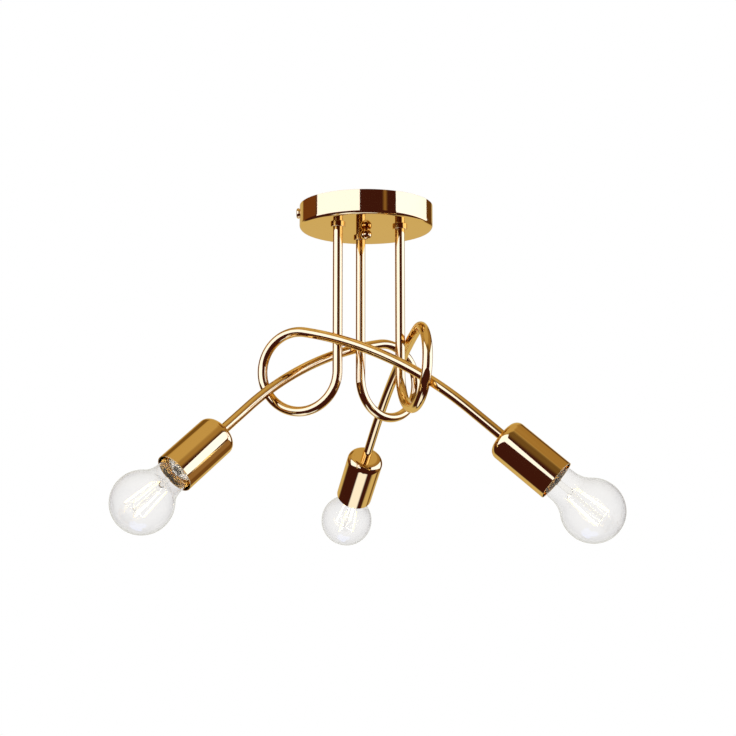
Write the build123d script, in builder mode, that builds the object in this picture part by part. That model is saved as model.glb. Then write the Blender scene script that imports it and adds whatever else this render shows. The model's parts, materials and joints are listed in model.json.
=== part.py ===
from build123d import *
import os
from math import cos, radians, sin, sqrt

# Three-arm ceiling light in polished gold, in millimetres.
# The origin is on the ceiling at the lamp's centre, +Z is up and -Y is the front.
# Seen from the front, arm 1 carries the bulb on the right, arm 2 the one on the left
# and arm 3 the one at the back.

# Canopy, the round cup against the ceiling
CANOPY_DIAMETER = 138.0
CANOPY_HEIGHT = 24.5
CANOPY_WALL = 1.0
CANOPY_EDGE_RADIUS = 4.0
FACE_Z = -CANOPY_HEIGHT
FLOOR_Z = FACE_Z + CANOPY_WALL

# Tubes: each drops straight, makes one loop, and runs out in a long gentle arc
TUBE_DIAMETER = 10.0
TUBE_WALL = 1.0
TUBE_CIRCLE_RADIUS = 37.0
TUBE_FIRST_ANGLE = 219.3
TUBE_TOP_Z = -14.0
DROP_LENGTH = 149.9
LOOP_HEADING = 160.2
LOOP_RADIUS = 40.1
LOOP_TURN = 281.2
LOOP_STEPS = 16
REACH_RADIUS = 377.0
# The three long arcs are bent by slightly different angles
REACH_TURN = {1: 29.0, 2: 27.8, 3: 30.5}
REACH_STEPS = 5
END_LENGTH = 42.3
SIDE_SHIFT = 12.0
SHIFT_START = -11.0
SHIFT_END = 299.0
BACK_BEND_RADIUS = 1825.0
# Turn of each whole arm about its own drop, as the nuts left it
ARM_TWIST = {1: 0.0, 2: -2.1, 3: 3.5}
ARM_ANGLE = {1: 0.0, 2: -120.0, 3: 120.0}

# Collars, washers and nuts on the tubes
COLLAR_DIAMETER = 15.0
COLLAR_THICKNESS = 3.0
COLLAR_CHAMFER = 0.4
WASHER_DIAMETER = 18.0
WASHER_THICKNESS = 1.0
NUT_ACROSS_FLATS = 14.0
NUT_THICKNESS = 3.0
CLEARANCE = 0.05

# Bracket, the steel strip screwed to the ceiling, with a lug for the side knob
BRACKET_LENGTH = 120.0
BRACKET_WIDTH = 25.0
BRACKET_THICKNESS = 2.0
SLOT_SPACING = 90.0
SLOT_LENGTH = 12.0
SLOT_WIDTH = 5.0
BRACKET_CORNER_RADIUS = 3.0
CABLE_HOLE_RADIUS = 5.0
CABLE_HOLE_X = 18.0
LUG_DROP = 14.0
LUG_WIDTH = 14.0

# Central stud, its nut, and the ball nut and washer that hold the canopy up
STUD_DIAMETER = 5.0
STUD_LENGTH = 31.0
STUD_CHAMFER = 0.5
# How far the stud's and the earth screw's top ends stay below the ceiling
CEILING_GAP = 0.2
STUD_NUT_FLATS = 8.0
STUD_NUT_THICKNESS = 3.2
BALL_DIAMETER = 11.6
BALL_SEAT_RADIUS = 3.95
BALL_BORE_DEPTH = 6.8
BALL_WASHER_THICKNESS = 0.5

# Side knob screw and its washer, a low head on the canopy's left wall
KNOB_DIAMETER = 11.0
KNOB_HEIGHT = 2.8
KNOB_EDGE_RADIUS = 2.2
KNOB_WASHER_DIAMETER = 9.0
KNOB_WASHER_THICKNESS = 0.5
KNOB_Z = -7.0
KNOB_SHANK_DIAMETER = 4.0
KNOB_SHANK_LENGTH = 13.0

# Earth screw and washer, and the terminal block, all under the bracket
EARTH_X = 31.0
EARTH_Y = 6.0
EARTH_HEAD_DIAMETER = 8.0
EARTH_HEAD_HEIGHT = 2.6
EARTH_EDGE_RADIUS = 0.8
EARTH_SLOT_WIDTH = 1.0
EARTH_SHANK_DIAMETER = 4.0
EARTH_WASHER_DIAMETER = 9.0
EARTH_WASHER_THICKNESS = 0.8
BLOCK_CENTRE_X = -27.0
BLOCK_LENGTH = 20.0
BLOCK_WIDTH = 16.0
BLOCK_HEIGHT = 11.0
BLOCK_CORNER_RADIUS = 1.5
BLOCK_WELL_RADIUS = 1.9
BLOCK_WELL_DEPTH = 3.0
BLOCK_SCREW_RADIUS = 1.6
BLOCK_SCREW_HEIGHT = 2.4
BLOCK_SCREW_SPACING = 8.0

# Wires, two in each tube
WIRE_DIAMETER = 2.1
WIRE_SPACING = 2.7
WIRE_LEVEL_Z = -8.5
WIRE_BEND_RADIUS = 5.0
WIRE_CORNER_RADIUS = 3.0
WIRE_INSET = 7.0
WIRE_EXIT_Y = -3.5

# Sleeve over each lampholder, along the head's own axis from its top face down
SLEEVE_DIAMETER = 41.0
SLEEVE_LENGTH = 65.5
SLEEVE_WALL = 0.8
SLEEVE_TOP = 1.2
SLEEVE_EDGE_RADIUS = 8.4
TUBE_IN_SLEEVE = 12.0

# Lampholder for a screw cap of 27 mm, at these depths below the sleeve's top face
HOLDER_BOSS_TOP = 5.0
HOLDER_BODY_TOP = 12.0
HOLDER_FLOOR = 27.4
HOLDER_MOUTH = 55.4
HOLDER_BOSS_RADIUS = 8.5
HOLDER_RADIUS = 17.0
HOLDER_CAVITY_RADIUS = 14.8
HOLDER_CHAMFER = 2.0
HOLDER_WIRE_RADIUS = 3.6
SHELL_TOP = 35.4
SHELL_MOUTH = 54.4
SHELL_INNER_RADIUS = 13.7
SHELL_OUTER_RADIUS = 14.5
SHELL_WALL = 0.8
SHELL_LIP_RADIUS = 13.5
LEAF_WIDTH = 5.0
LEAF_THICKNESS = 0.4
LEAF_HALF_LENGTH = 7.5
LEAF_TONGUE = 3.0

# Bulb, along the same axis from its tip contact at BULB_TIP down to the globe's end
BULB_TIP = 33.4
GLOBE_RADIUS = 30.0
GLOBE_CENTRE = 75.0
GLASS_WALL = 0.8
NECK_RADIUS = 16.6
NECK_BLEND_RADIUS = 25.0
NECK_END = 19.0
NECK_END_RADIUS = 11.6
TIP_HEIGHT = 1.6
TIP_RADIUS = 4.2
TIP_EDGE = 1.2
INSULATOR_BASE = 5.0
INSULATOR_EDGE = 1.8
INSULATOR_SMALL_RADIUS = 5.6
CAP_RADIUS = 13.2
CAP_END_RADIUS = 12.2
CAP_SHOULDER = 6.5
CAP_WALL = 0.5
CAP_TOP = 5.0
CAP_STRAIGHT_END = 20.5
CAP_RIM_START = 22.5
CAP_RIM_END = 24.2
CAP_RIM_RADIUS = 14.6
STEM_FLARE_RADIUS = 10.8
STEM_FLARE_START = 20.0
STEM_FLARE_END_RADIUS = 6.7
STEM_FLARE_END = 24.0
STEM_WAIST_RADIUS = 3.0
STEM_WAIST = 36.0
STEM_END = 50.0
STEM_ROD_RADIUS = 1.4
STEM_ROD_START = 51.5
STEM_ROD_END = 86.0
FILAMENT_COUNT = 4
FILAMENT_FIRST_ANGLE = 45.0
FILAMENT_RADIUS = 1.1
FILAMENT_START = 51.0
FILAMENT_START_RADIUS = 8.5
FILAMENT_END = 86.5
FILAMENT_END_RADIUS = 12.0
LEAD_RADIUS = 0.3
LEAD_ROOT = 47.0
LEAD_JOIN = 0.6
LEAD_ROOT_GAP = 0.4
LEAD_PEAK_GAP = 0.2

os.makedirs("parts", exist_ok=True)


def save(piece, name):
    """Labels a finished piece and writes it as its own STEP file."""
    piece.part.label = name
    export_step(piece.part, f"parts/{name}.step")


def polar(radius, angle, z=0.0):
    """A point at this radius and plan angle in degrees."""
    return Vector(radius * cos(radians(angle)), radius * sin(radians(angle)), z)


# Centre line of an arm


def in_plane(distance):
    """How far the line has gone out of its drop (along the heading) and down, at this distance
    past the drop's end, with the angle it has turned through."""
    loop_length = LOOP_RADIUS * radians(LOOP_TURN)
    turn = min(distance, loop_length) / LOOP_RADIUS
    out = LOOP_RADIUS * (1 - cos(turn))
    down = LOOP_RADIUS * sin(turn)
    if distance > loop_length:
        start = turn
        turn = start + (distance - loop_length) / REACH_RADIUS
        out += REACH_RADIUS * (cos(start) - cos(turn))
        down += REACH_RADIUS * (sin(turn) - sin(start))
    return out, down


def side_shift(distance):
    """How far the line has moved sideways, so that the loop clears its own drop."""
    share = (distance - SHIFT_START) / (SHIFT_END - SHIFT_START)
    share = min(max(share, 0.0), 1.0)
    past = max(distance - SHIFT_END, 0.0)
    return SIDE_SHIFT * share * share * (3 - 2 * share) - past * past / (2 * BACK_BEND_RADIUS)


def arm_point(number, distance):
    """A point of an arm's centre line, at this distance past the end of its drop."""
    out, down = in_plane(distance)
    side = side_shift(distance) - side_shift(0.0)
    heading = LOOP_HEADING + ARM_TWIST[number] + ARM_ANGLE[number]
    drop = polar(TUBE_CIRCLE_RADIUS, TUBE_FIRST_ANGLE + ARM_ANGLE[number], FACE_Z - DROP_LENGTH)
    return drop + polar(out, heading) + polar(side, heading + 90) - Vector(0, 0, down)


def arm_stops(number):
    """Distances past the drop's end at which one bend of the tube hands over to the next."""
    loop_length = LOOP_RADIUS * radians(LOOP_TURN)
    reach_length = REACH_RADIUS * radians(REACH_TURN[number])
    loop = [loop_length * step / LOOP_STEPS for step in range(1, LOOP_STEPS + 1)]
    reach = [loop_length + reach_length * step / REACH_STEPS for step in range(1, REACH_STEPS + 1)]
    return loop + reach


def draw_arm(number, start):
    """Draws the arm's line from a start point on its drop to the sleeve's top face, inside an
    open line builder, and returns its last edge."""
    edge = Line(start, arm_point(number, 0.0))
    for distance in arm_stops(number):
        edge = TangentArc(edge @ 1, arm_point(number, distance), tangent=edge % 1)
    return Line(edge @ 1, edge @ 1 + (edge % 1) * (END_LENGTH + TUBE_IN_SLEEVE))


# Head of each arm: the axis that its sleeve, lampholder and bulb share


class Head:
    """The sleeve's seat: its top face's centre, its axis, and the plane of its profiles."""

    def __init__(self, number):
        with BuildLine():
            last = draw_arm(number, arm_point(number, 0.0) + Vector(0, 0, DROP_LENGTH))
        self.direction = last % 1
        self.top = last @ 1 - self.direction * TUBE_IN_SLEEVE
        self.across = self.direction.cross(Vector(0, 0, 1)).normalized()
        normal = self.across.cross(self.direction)
        self.profile = Plane(origin=self.top, x_dir=self.across, z_dir=normal)
        self.axis = Axis(self.top, self.direction)

    def level(self, depth):
        """The plane across the axis at this depth below the sleeve's top face."""
        return Plane(
            origin=self.top + self.direction * depth, x_dir=self.across, z_dir=self.direction
        )


NUMBERS = (1, 2, 3)
HEADS = {number: Head(number) for number in NUMBERS}

# Canopy

side_hole = Plane(origin=(-CANOPY_DIAMETER / 2, 0, KNOB_Z), x_dir=(0, 1, 0), z_dir=(-1, 0, 0))

with BuildPart() as canopy:
    with BuildSketch(Plane.XY.offset(FACE_Z)):
        Circle(CANOPY_DIAMETER / 2)
    extrude(amount=CANOPY_HEIGHT)
    fillet(canopy.edges().group_by(Axis.Z)[0], radius=CANOPY_EDGE_RADIUS)
    offset(amount=-CANOPY_WALL, openings=canopy.faces().sort_by(Axis.Z)[-1])
    with BuildSketch(Plane.XY.offset(FACE_Z)):
        with PolarLocations(TUBE_CIRCLE_RADIUS, len(NUMBERS), start_angle=TUBE_FIRST_ANGLE):
            Circle(TUBE_DIAMETER / 2 + CLEARANCE)
        Circle(STUD_DIAMETER / 2 + 2 * CLEARANCE)
    extrude(amount=2 * CANOPY_WALL, mode=Mode.SUBTRACT)
    with BuildSketch(side_hole):
        Circle(KNOB_SHANK_DIAMETER / 2 + 2 * CLEARANCE)
    extrude(amount=-3 * CANOPY_WALL, mode=Mode.SUBTRACT)
save(canopy, "canopy")

# Bracket, with two slots for the ceiling screws, a cable hole, and the lug at its left end

lug_x = -BRACKET_LENGTH / 2
lug_side = Plane(origin=(lug_x, 0, 0), x_dir=(0, 1, 0), z_dir=(1, 0, 0))
with BuildPart() as ceiling_bracket:
    with BuildSketch(Plane.XY):
        RectangleRounded(BRACKET_LENGTH, BRACKET_WIDTH, BRACKET_CORNER_RADIUS)
        with GridLocations(SLOT_SPACING, 0, 2, 1):
            SlotOverall(SLOT_LENGTH, SLOT_WIDTH, mode=Mode.SUBTRACT)
        with Locations((CABLE_HOLE_X, 0)):
            Circle(CABLE_HOLE_RADIUS, mode=Mode.SUBTRACT)
        with Locations((EARTH_X, EARTH_Y)):
            Circle(EARTH_SHANK_DIAMETER / 2 + CLEARANCE, mode=Mode.SUBTRACT)
        Circle(STUD_DIAMETER / 2 + CLEARANCE, mode=Mode.SUBTRACT)
    extrude(amount=-BRACKET_THICKNESS)
    with BuildSketch(lug_side):
        with Locations((0, -(BRACKET_THICKNESS + LUG_DROP) / 2)):
            Rectangle(LUG_WIDTH, LUG_DROP - BRACKET_THICKNESS)
        with Locations((0, KNOB_Z)):
            Circle(KNOB_SHANK_DIAMETER / 2 + CLEARANCE, mode=Mode.SUBTRACT)
    extrude(amount=BRACKET_THICKNESS)
save(ceiling_bracket, "ceiling_bracket")

# Stud through the bracket's middle, with a nut under the strip

with BuildPart() as stud:
    with BuildSketch(Plane.XY.offset(-CEILING_GAP)):
        Circle(STUD_DIAMETER / 2)
    extrude(amount=-STUD_LENGTH)
    chamfer(stud.edges().group_by(Axis.Z)[0], length=STUD_CHAMFER)
save(stud, "stud")

with BuildPart() as stud_nut:
    with BuildSketch(Plane.XY.offset(-BRACKET_THICKNESS)):
        RegularPolygon(STUD_NUT_FLATS / 2, 6, major_radius=False)
        Circle(STUD_DIAMETER / 2 + CLEARANCE, mode=Mode.SUBTRACT)
    extrude(amount=-STUD_NUT_THICKNESS)
save(stud_nut, "stud_nut")

# Ball nut, a ball with a flat seat and a blind threaded bore, on a thin washer

with BuildPart() as ball_washer:
    with BuildSketch(Plane.XY.offset(FACE_Z)):
        Circle(BALL_SEAT_RADIUS)
        Circle(STUD_DIAMETER / 2 + CLEARANCE, mode=Mode.SUBTRACT)
    extrude(amount=-BALL_WASHER_THICKNESS)
save(ball_washer, "ball_washer")

ball_seat = FACE_Z - BALL_WASHER_THICKNESS
ball_centre = ball_seat - sqrt((BALL_DIAMETER / 2) ** 2 - BALL_SEAT_RADIUS**2)
with BuildPart() as ball_nut:
    with Locations((0, 0, ball_centre)):
        Sphere(BALL_DIAMETER / 2)
    split(bisect_by=Plane.XY.offset(ball_seat), keep=Keep.BOTTOM)
    with Locations(Plane.XY.offset(ball_seat)):
        Hole(STUD_DIAMETER / 2 + CLEARANCE, depth=BALL_BORE_DEPTH)
save(ball_nut, "ball_nut")

# Side knob screw, a low rounded head outside the canopy's wall and a shank into the lug

with BuildPart() as knob_washer:
    with BuildSketch(side_hole):
        Circle(KNOB_WASHER_DIAMETER / 2)
        Circle(KNOB_SHANK_DIAMETER / 2 + CLEARANCE, mode=Mode.SUBTRACT)
    extrude(amount=KNOB_WASHER_THICKNESS)
save(knob_washer, "knob_washer")

knob_seat = side_hole.offset(KNOB_WASHER_THICKNESS)
with BuildPart() as side_knob:
    with BuildSketch(knob_seat):
        Circle(KNOB_DIAMETER / 2)
    extrude(amount=KNOB_HEIGHT)
    fillet(side_knob.edges().sort_by(Axis.X)[0], radius=KNOB_EDGE_RADIUS)
    with BuildSketch(knob_seat):
        Circle(KNOB_SHANK_DIAMETER / 2)
    extrude(amount=-KNOB_SHANK_LENGTH)
save(side_knob, "side_knob")

# Earth screw and washer under the bracket

earth_seat = -BRACKET_THICKNESS - EARTH_WASHER_THICKNESS
with BuildPart() as earth_washer:
    with BuildSketch(Plane.XY.offset(-BRACKET_THICKNESS)):
        with Locations((EARTH_X, EARTH_Y)):
            Circle(EARTH_WASHER_DIAMETER / 2)
            Circle(EARTH_SHANK_DIAMETER / 2 + CLEARANCE, mode=Mode.SUBTRACT)
    extrude(amount=-EARTH_WASHER_THICKNESS)
save(earth_washer, "earth_washer")

with BuildPart() as earth_screw:
    with BuildSketch(Plane.XY.offset(earth_seat)):
        with Locations((EARTH_X, EARTH_Y)):
            Circle(EARTH_HEAD_DIAMETER / 2)
    extrude(amount=-EARTH_HEAD_HEIGHT)
    fillet(earth_screw.edges().sort_by(Axis.Z)[0], radius=EARTH_EDGE_RADIUS)
    with BuildSketch(Plane.XY.offset(earth_seat)):
        with Locations((EARTH_X, EARTH_Y)):
            Circle(EARTH_SHANK_DIAMETER / 2)
    extrude(amount=-earth_seat - CEILING_GAP)
    with BuildSketch(Plane.XY.offset(earth_seat - EARTH_HEAD_HEIGHT)):
        with Locations((EARTH_X, EARTH_Y)):
            Rectangle(2 * EARTH_HEAD_DIAMETER, EARTH_SLOT_WIDTH)
    extrude(amount=EARTH_SLOT_WIDTH, mode=Mode.SUBTRACT)
save(earth_screw, "earth_screw")

# Terminal block under the bracket, with one clamping screw for each pole

block_screws = [
    (BLOCK_CENTRE_X - BLOCK_SCREW_SPACING / 2, 0),
    (BLOCK_CENTRE_X + BLOCK_SCREW_SPACING / 2, 0),
]
with BuildPart() as terminal_block:
    with BuildSketch(Plane.XY.offset(-BRACKET_THICKNESS)):
        with Locations((BLOCK_CENTRE_X, 0)):
            RectangleRounded(BLOCK_LENGTH, BLOCK_WIDTH, BLOCK_CORNER_RADIUS)
    extrude(amount=-BLOCK_HEIGHT)
    with BuildSketch(Plane.XY.offset(-BRACKET_THICKNESS - BLOCK_HEIGHT)):
        with Locations(*block_screws):
            Circle(BLOCK_WELL_RADIUS)
    extrude(amount=BLOCK_WELL_DEPTH, mode=Mode.SUBTRACT)
save(terminal_block, "terminal_block")

with BuildPart() as block_screw_pair:
    with BuildSketch(Plane.XY.offset(-BRACKET_THICKNESS - BLOCK_HEIGHT + BLOCK_WELL_DEPTH)):
        with Locations(*block_screws):
            Circle(BLOCK_SCREW_RADIUS)
    extrude(amount=-BLOCK_SCREW_HEIGHT)
save(block_screw_pair, "block_screws")

# Tubes

for number in NUMBERS:
    top_end = arm_point(number, 0.0) + Vector(0, 0, DROP_LENGTH + TUBE_TOP_Z - FACE_Z)
    with BuildPart() as arm_tube:
        with BuildLine() as arm_line:
            draw_arm(number, top_end)
        with BuildSketch(Plane(origin=top_end, z_dir=(0, 0, -1))):
            Circle(TUBE_DIAMETER / 2)
            Circle(TUBE_DIAMETER / 2 - TUBE_WALL, mode=Mode.SUBTRACT)
        sweep(path=arm_line.wire())
    save(arm_tube, f"arm_tube_{number}")

# Collars below the canopy, washers and nuts above its face, one of each on every tube

tube_places = PolarLocations(TUBE_CIRCLE_RADIUS, len(NUMBERS), start_angle=TUBE_FIRST_ANGLE)

with BuildPart() as tube_collars:
    with BuildSketch(Plane.XY.offset(FACE_Z)):
        with tube_places:
            Circle(COLLAR_DIAMETER / 2)
            Circle(TUBE_DIAMETER / 2 + CLEARANCE, mode=Mode.SUBTRACT)
    extrude(amount=-COLLAR_THICKNESS)
    lower_edges = tube_collars.edges().group_by(Axis.Z)[0]
    chamfer(lower_edges.group_by(SortBy.RADIUS)[-1], length=COLLAR_CHAMFER)
save(tube_collars, "tube_collars")

with BuildPart() as tube_washers:
    with BuildSketch(Plane.XY.offset(FLOOR_Z)):
        with tube_places:
            Circle(WASHER_DIAMETER / 2)
            Circle(TUBE_DIAMETER / 2 + CLEARANCE, mode=Mode.SUBTRACT)
    extrude(amount=WASHER_THICKNESS)
save(tube_washers, "tube_washers")

with BuildPart() as tube_nuts:
    with BuildSketch(Plane.XY.offset(FLOOR_Z + WASHER_THICKNESS)):
        with tube_places:
            RegularPolygon(NUT_ACROSS_FLATS / 2, 6, major_radius=False)
            Circle(TUBE_DIAMETER / 2 + CLEARANCE, mode=Mode.SUBTRACT)
    extrude(amount=NUT_THICKNESS)
save(tube_nuts, "tube_nuts")

# Wires, a pair from the terminal block through each tube to its lampholder

block_right = BLOCK_CENTRE_X + BLOCK_LENGTH / 2
wire_runs = {
    1: [(polar(TUBE_CIRCLE_RADIUS, TUBE_FIRST_ANGLE).X, -BLOCK_WIDTH / 2)],
    2: [
        (block_right - WIRE_INSET, BLOCK_WIDTH / 2),
        (block_right - WIRE_INSET, BLOCK_WIDTH / 2 + WIRE_INSET),
    ],
    3: [
        (block_right, WIRE_EXIT_Y),
        (block_right + WIRE_BEND_RADIUS, WIRE_EXIT_Y),
        (WIRE_BEND_RADIUS, -BRACKET_WIDTH / 2),
    ],
}
for number in NUMBERS:
    over_tube = arm_point(number, 0.0) + Vector(0, 0, DROP_LENGTH + WIRE_LEVEL_Z - FACE_Z)
    under = over_tube - Vector(0, 0, 2 * WIRE_BEND_RADIUS)
    route = [Vector(x, y, WIRE_LEVEL_Z) for x, y in wire_runs[number]] + [over_tube, under]
    radii = [WIRE_CORNER_RADIUS] * (len(route) - 3) + [WIRE_BEND_RADIUS]
    with BuildPart() as wire_pair:
        with BuildLine() as wire_line:
            FilletPolyline(*route, radius=radii)
            draw_arm(number, under)
        first_run = (route[1] - route[0]).normalized()
        level_across = first_run.cross(Vector(0, 0, 1))
        with BuildSketch(Plane(origin=route[0], x_dir=level_across, z_dir=first_run)):
            with GridLocations(WIRE_SPACING, 0, 2, 1):
                Circle(WIRE_DIAMETER / 2)
        sweep(path=wire_line.wire())
    save(wire_pair, f"arm_wires_{number}")

# Sleeves, each a cup with a hole for the tube in its flat top

for number, head in HEADS.items():
    with BuildPart() as sleeve:
        with BuildSketch(head.level(0)):
            Circle(SLEEVE_DIAMETER / 2)
        extrude(amount=SLEEVE_LENGTH)
        top_edge = sleeve.edges().filter_by(GeomType.CIRCLE).sort_by(head.axis)[0]
        fillet(top_edge, radius=SLEEVE_EDGE_RADIUS)
        with BuildSketch(head.level(SLEEVE_TOP)):
            Circle(SLEEVE_DIAMETER / 2 - SLEEVE_WALL)
        cavity = extrude(amount=SLEEVE_LENGTH, mode=Mode.PRIVATE)
        cavity_edge = cavity.edges().filter_by(GeomType.CIRCLE).sort_by(head.axis)[0]
        add(cavity.fillet(SLEEVE_EDGE_RADIUS - SLEEVE_WALL, [cavity_edge]), mode=Mode.SUBTRACT)
        with BuildSketch(head.level(-1)):
            Circle(TUBE_DIAMETER / 2 + CLEARANCE)
        extrude(amount=4 * SLEEVE_TOP, mode=Mode.SUBTRACT)
    save(sleeve, f"sleeve_{number}")

with BuildPart() as sleeve_nuts:
    for head in HEADS.values():
        with BuildSketch(head.level(SLEEVE_TOP)):
            RegularPolygon(NUT_ACROSS_FLATS / 2, 6, major_radius=False)
            Circle(TUBE_DIAMETER / 2 + CLEARANCE, mode=Mode.SUBTRACT)
        extrude(amount=NUT_THICKNESS)
save(sleeve_nuts, "sleeve_nuts")

# Lampholders: a moulded body with a boss on the tube's end, a threaded shell, and a leaf
# spring that carries the centre contact

for number, head in HEADS.items():
    with BuildPart() as holder_body:
        with BuildSketch(head.profile):
            with BuildLine():
                Polyline(
                    (TUBE_DIAMETER / 2 + CLEARANCE, HOLDER_BOSS_TOP),
                    (HOLDER_BOSS_RADIUS, HOLDER_BOSS_TOP),
                    (HOLDER_BOSS_RADIUS, HOLDER_BODY_TOP),
                    (HOLDER_RADIUS - HOLDER_CHAMFER, HOLDER_BODY_TOP),
                    (HOLDER_RADIUS, HOLDER_BODY_TOP + HOLDER_CHAMFER),
                    (HOLDER_RADIUS, HOLDER_MOUTH),
                    (HOLDER_CAVITY_RADIUS, HOLDER_MOUTH),
                    (HOLDER_CAVITY_RADIUS, HOLDER_FLOOR),
                    (HOLDER_WIRE_RADIUS, HOLDER_FLOOR),
                    (HOLDER_WIRE_RADIUS, TUBE_IN_SLEEVE + CLEARANCE),
                    (TUBE_DIAMETER / 2 + CLEARANCE, TUBE_IN_SLEEVE + CLEARANCE),
                    close=True,
                )
            make_face()
        revolve(axis=head.axis)
    save(holder_body, f"holder_body_{number}")

    with BuildPart() as holder_shell:
        with BuildSketch(head.profile):
            with BuildLine():
                Polyline(
                    (SHELL_OUTER_RADIUS, SHELL_TOP),
                    (SHELL_OUTER_RADIUS, SHELL_MOUTH),
                    (SHELL_INNER_RADIUS, SHELL_MOUTH),
                    (SHELL_INNER_RADIUS, SHELL_TOP + SHELL_WALL),
                    (SHELL_LIP_RADIUS, SHELL_TOP + SHELL_WALL),
                    (SHELL_LIP_RADIUS, SHELL_TOP),
                    close=True,
                )
            make_face()
        revolve(axis=head.axis)
    save(holder_shell, f"holder_shell_{number}")

    leaf_top = BULB_TIP - LEAF_THICKNESS - CLEARANCE
    with BuildPart() as centre_contact:
        with BuildSketch(head.profile):
            with BuildLine():
                Polyline(
                    (-LEAF_HALF_LENGTH, HOLDER_FLOOR),
                    (LEAF_HALF_LENGTH, HOLDER_FLOOR),
                    (LEAF_HALF_LENGTH, leaf_top + LEAF_THICKNESS),
                    (-LEAF_TONGUE, leaf_top + LEAF_THICKNESS),
                    (-LEAF_TONGUE, leaf_top),
                    (LEAF_HALF_LENGTH - LEAF_THICKNESS, leaf_top),
                    (LEAF_HALF_LENGTH - LEAF_THICKNESS, HOLDER_FLOOR + LEAF_THICKNESS),
                    (-LEAF_HALF_LENGTH, HOLDER_FLOOR + LEAF_THICKNESS),
                    close=True,
                )
            make_face()
        extrude(amount=LEAF_WIDTH / 2, both=True)
    save(centre_contact, f"centre_contact_{number}")

# Bulbs


def glass_profile(wall):
    """Draws the glass's outline, this far inside its outer face, as a half section."""
    radius = GLOBE_RADIUS - wall
    blend = NECK_BLEND_RADIUS + wall
    blend_centre = GLOBE_CENTRE - sqrt(
        (GLOBE_RADIUS + NECK_BLEND_RADIUS) ** 2 - (NECK_RADIUS + NECK_BLEND_RADIUS) ** 2
    )
    share = radius / (GLOBE_RADIUS + NECK_BLEND_RADIUS)
    meet = (
        share * (NECK_RADIUS + NECK_BLEND_RADIUS),
        GLOBE_CENTRE - share * (GLOBE_CENTRE - blend_centre),
    )
    end = (0.0, BULB_TIP + GLOBE_CENTRE + radius)
    neck = (NECK_RADIUS - wall, BULB_TIP + blend_centre)
    root = (NECK_END_RADIUS - wall, BULB_TIP + NECK_END)
    top = (meet[0], BULB_TIP + meet[1])
    TangentArc(neck, root, tangent=(0, -1))
    shoulder = RadiusArc(neck, top, radius=blend)
    TangentArc(top, end, tangent=shoulder % 1)
    Polyline(end, (0, BULB_TIP + NECK_END), root)


def from_tip(points):
    """The same points, with depths counted from the sleeve's top face, not from the bulb's tip."""
    return [(radius, BULB_TIP + depth) for radius, depth in points]


def rod_between(start, end, radius):
    """Adds a thin round rod from one point to the other."""
    run = end - start
    with Locations(Plane(origin=start, z_dir=run.normalized())):
        Cylinder(radius, run.length, align=(Align.CENTER, Align.CENTER, Align.MIN))


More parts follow.
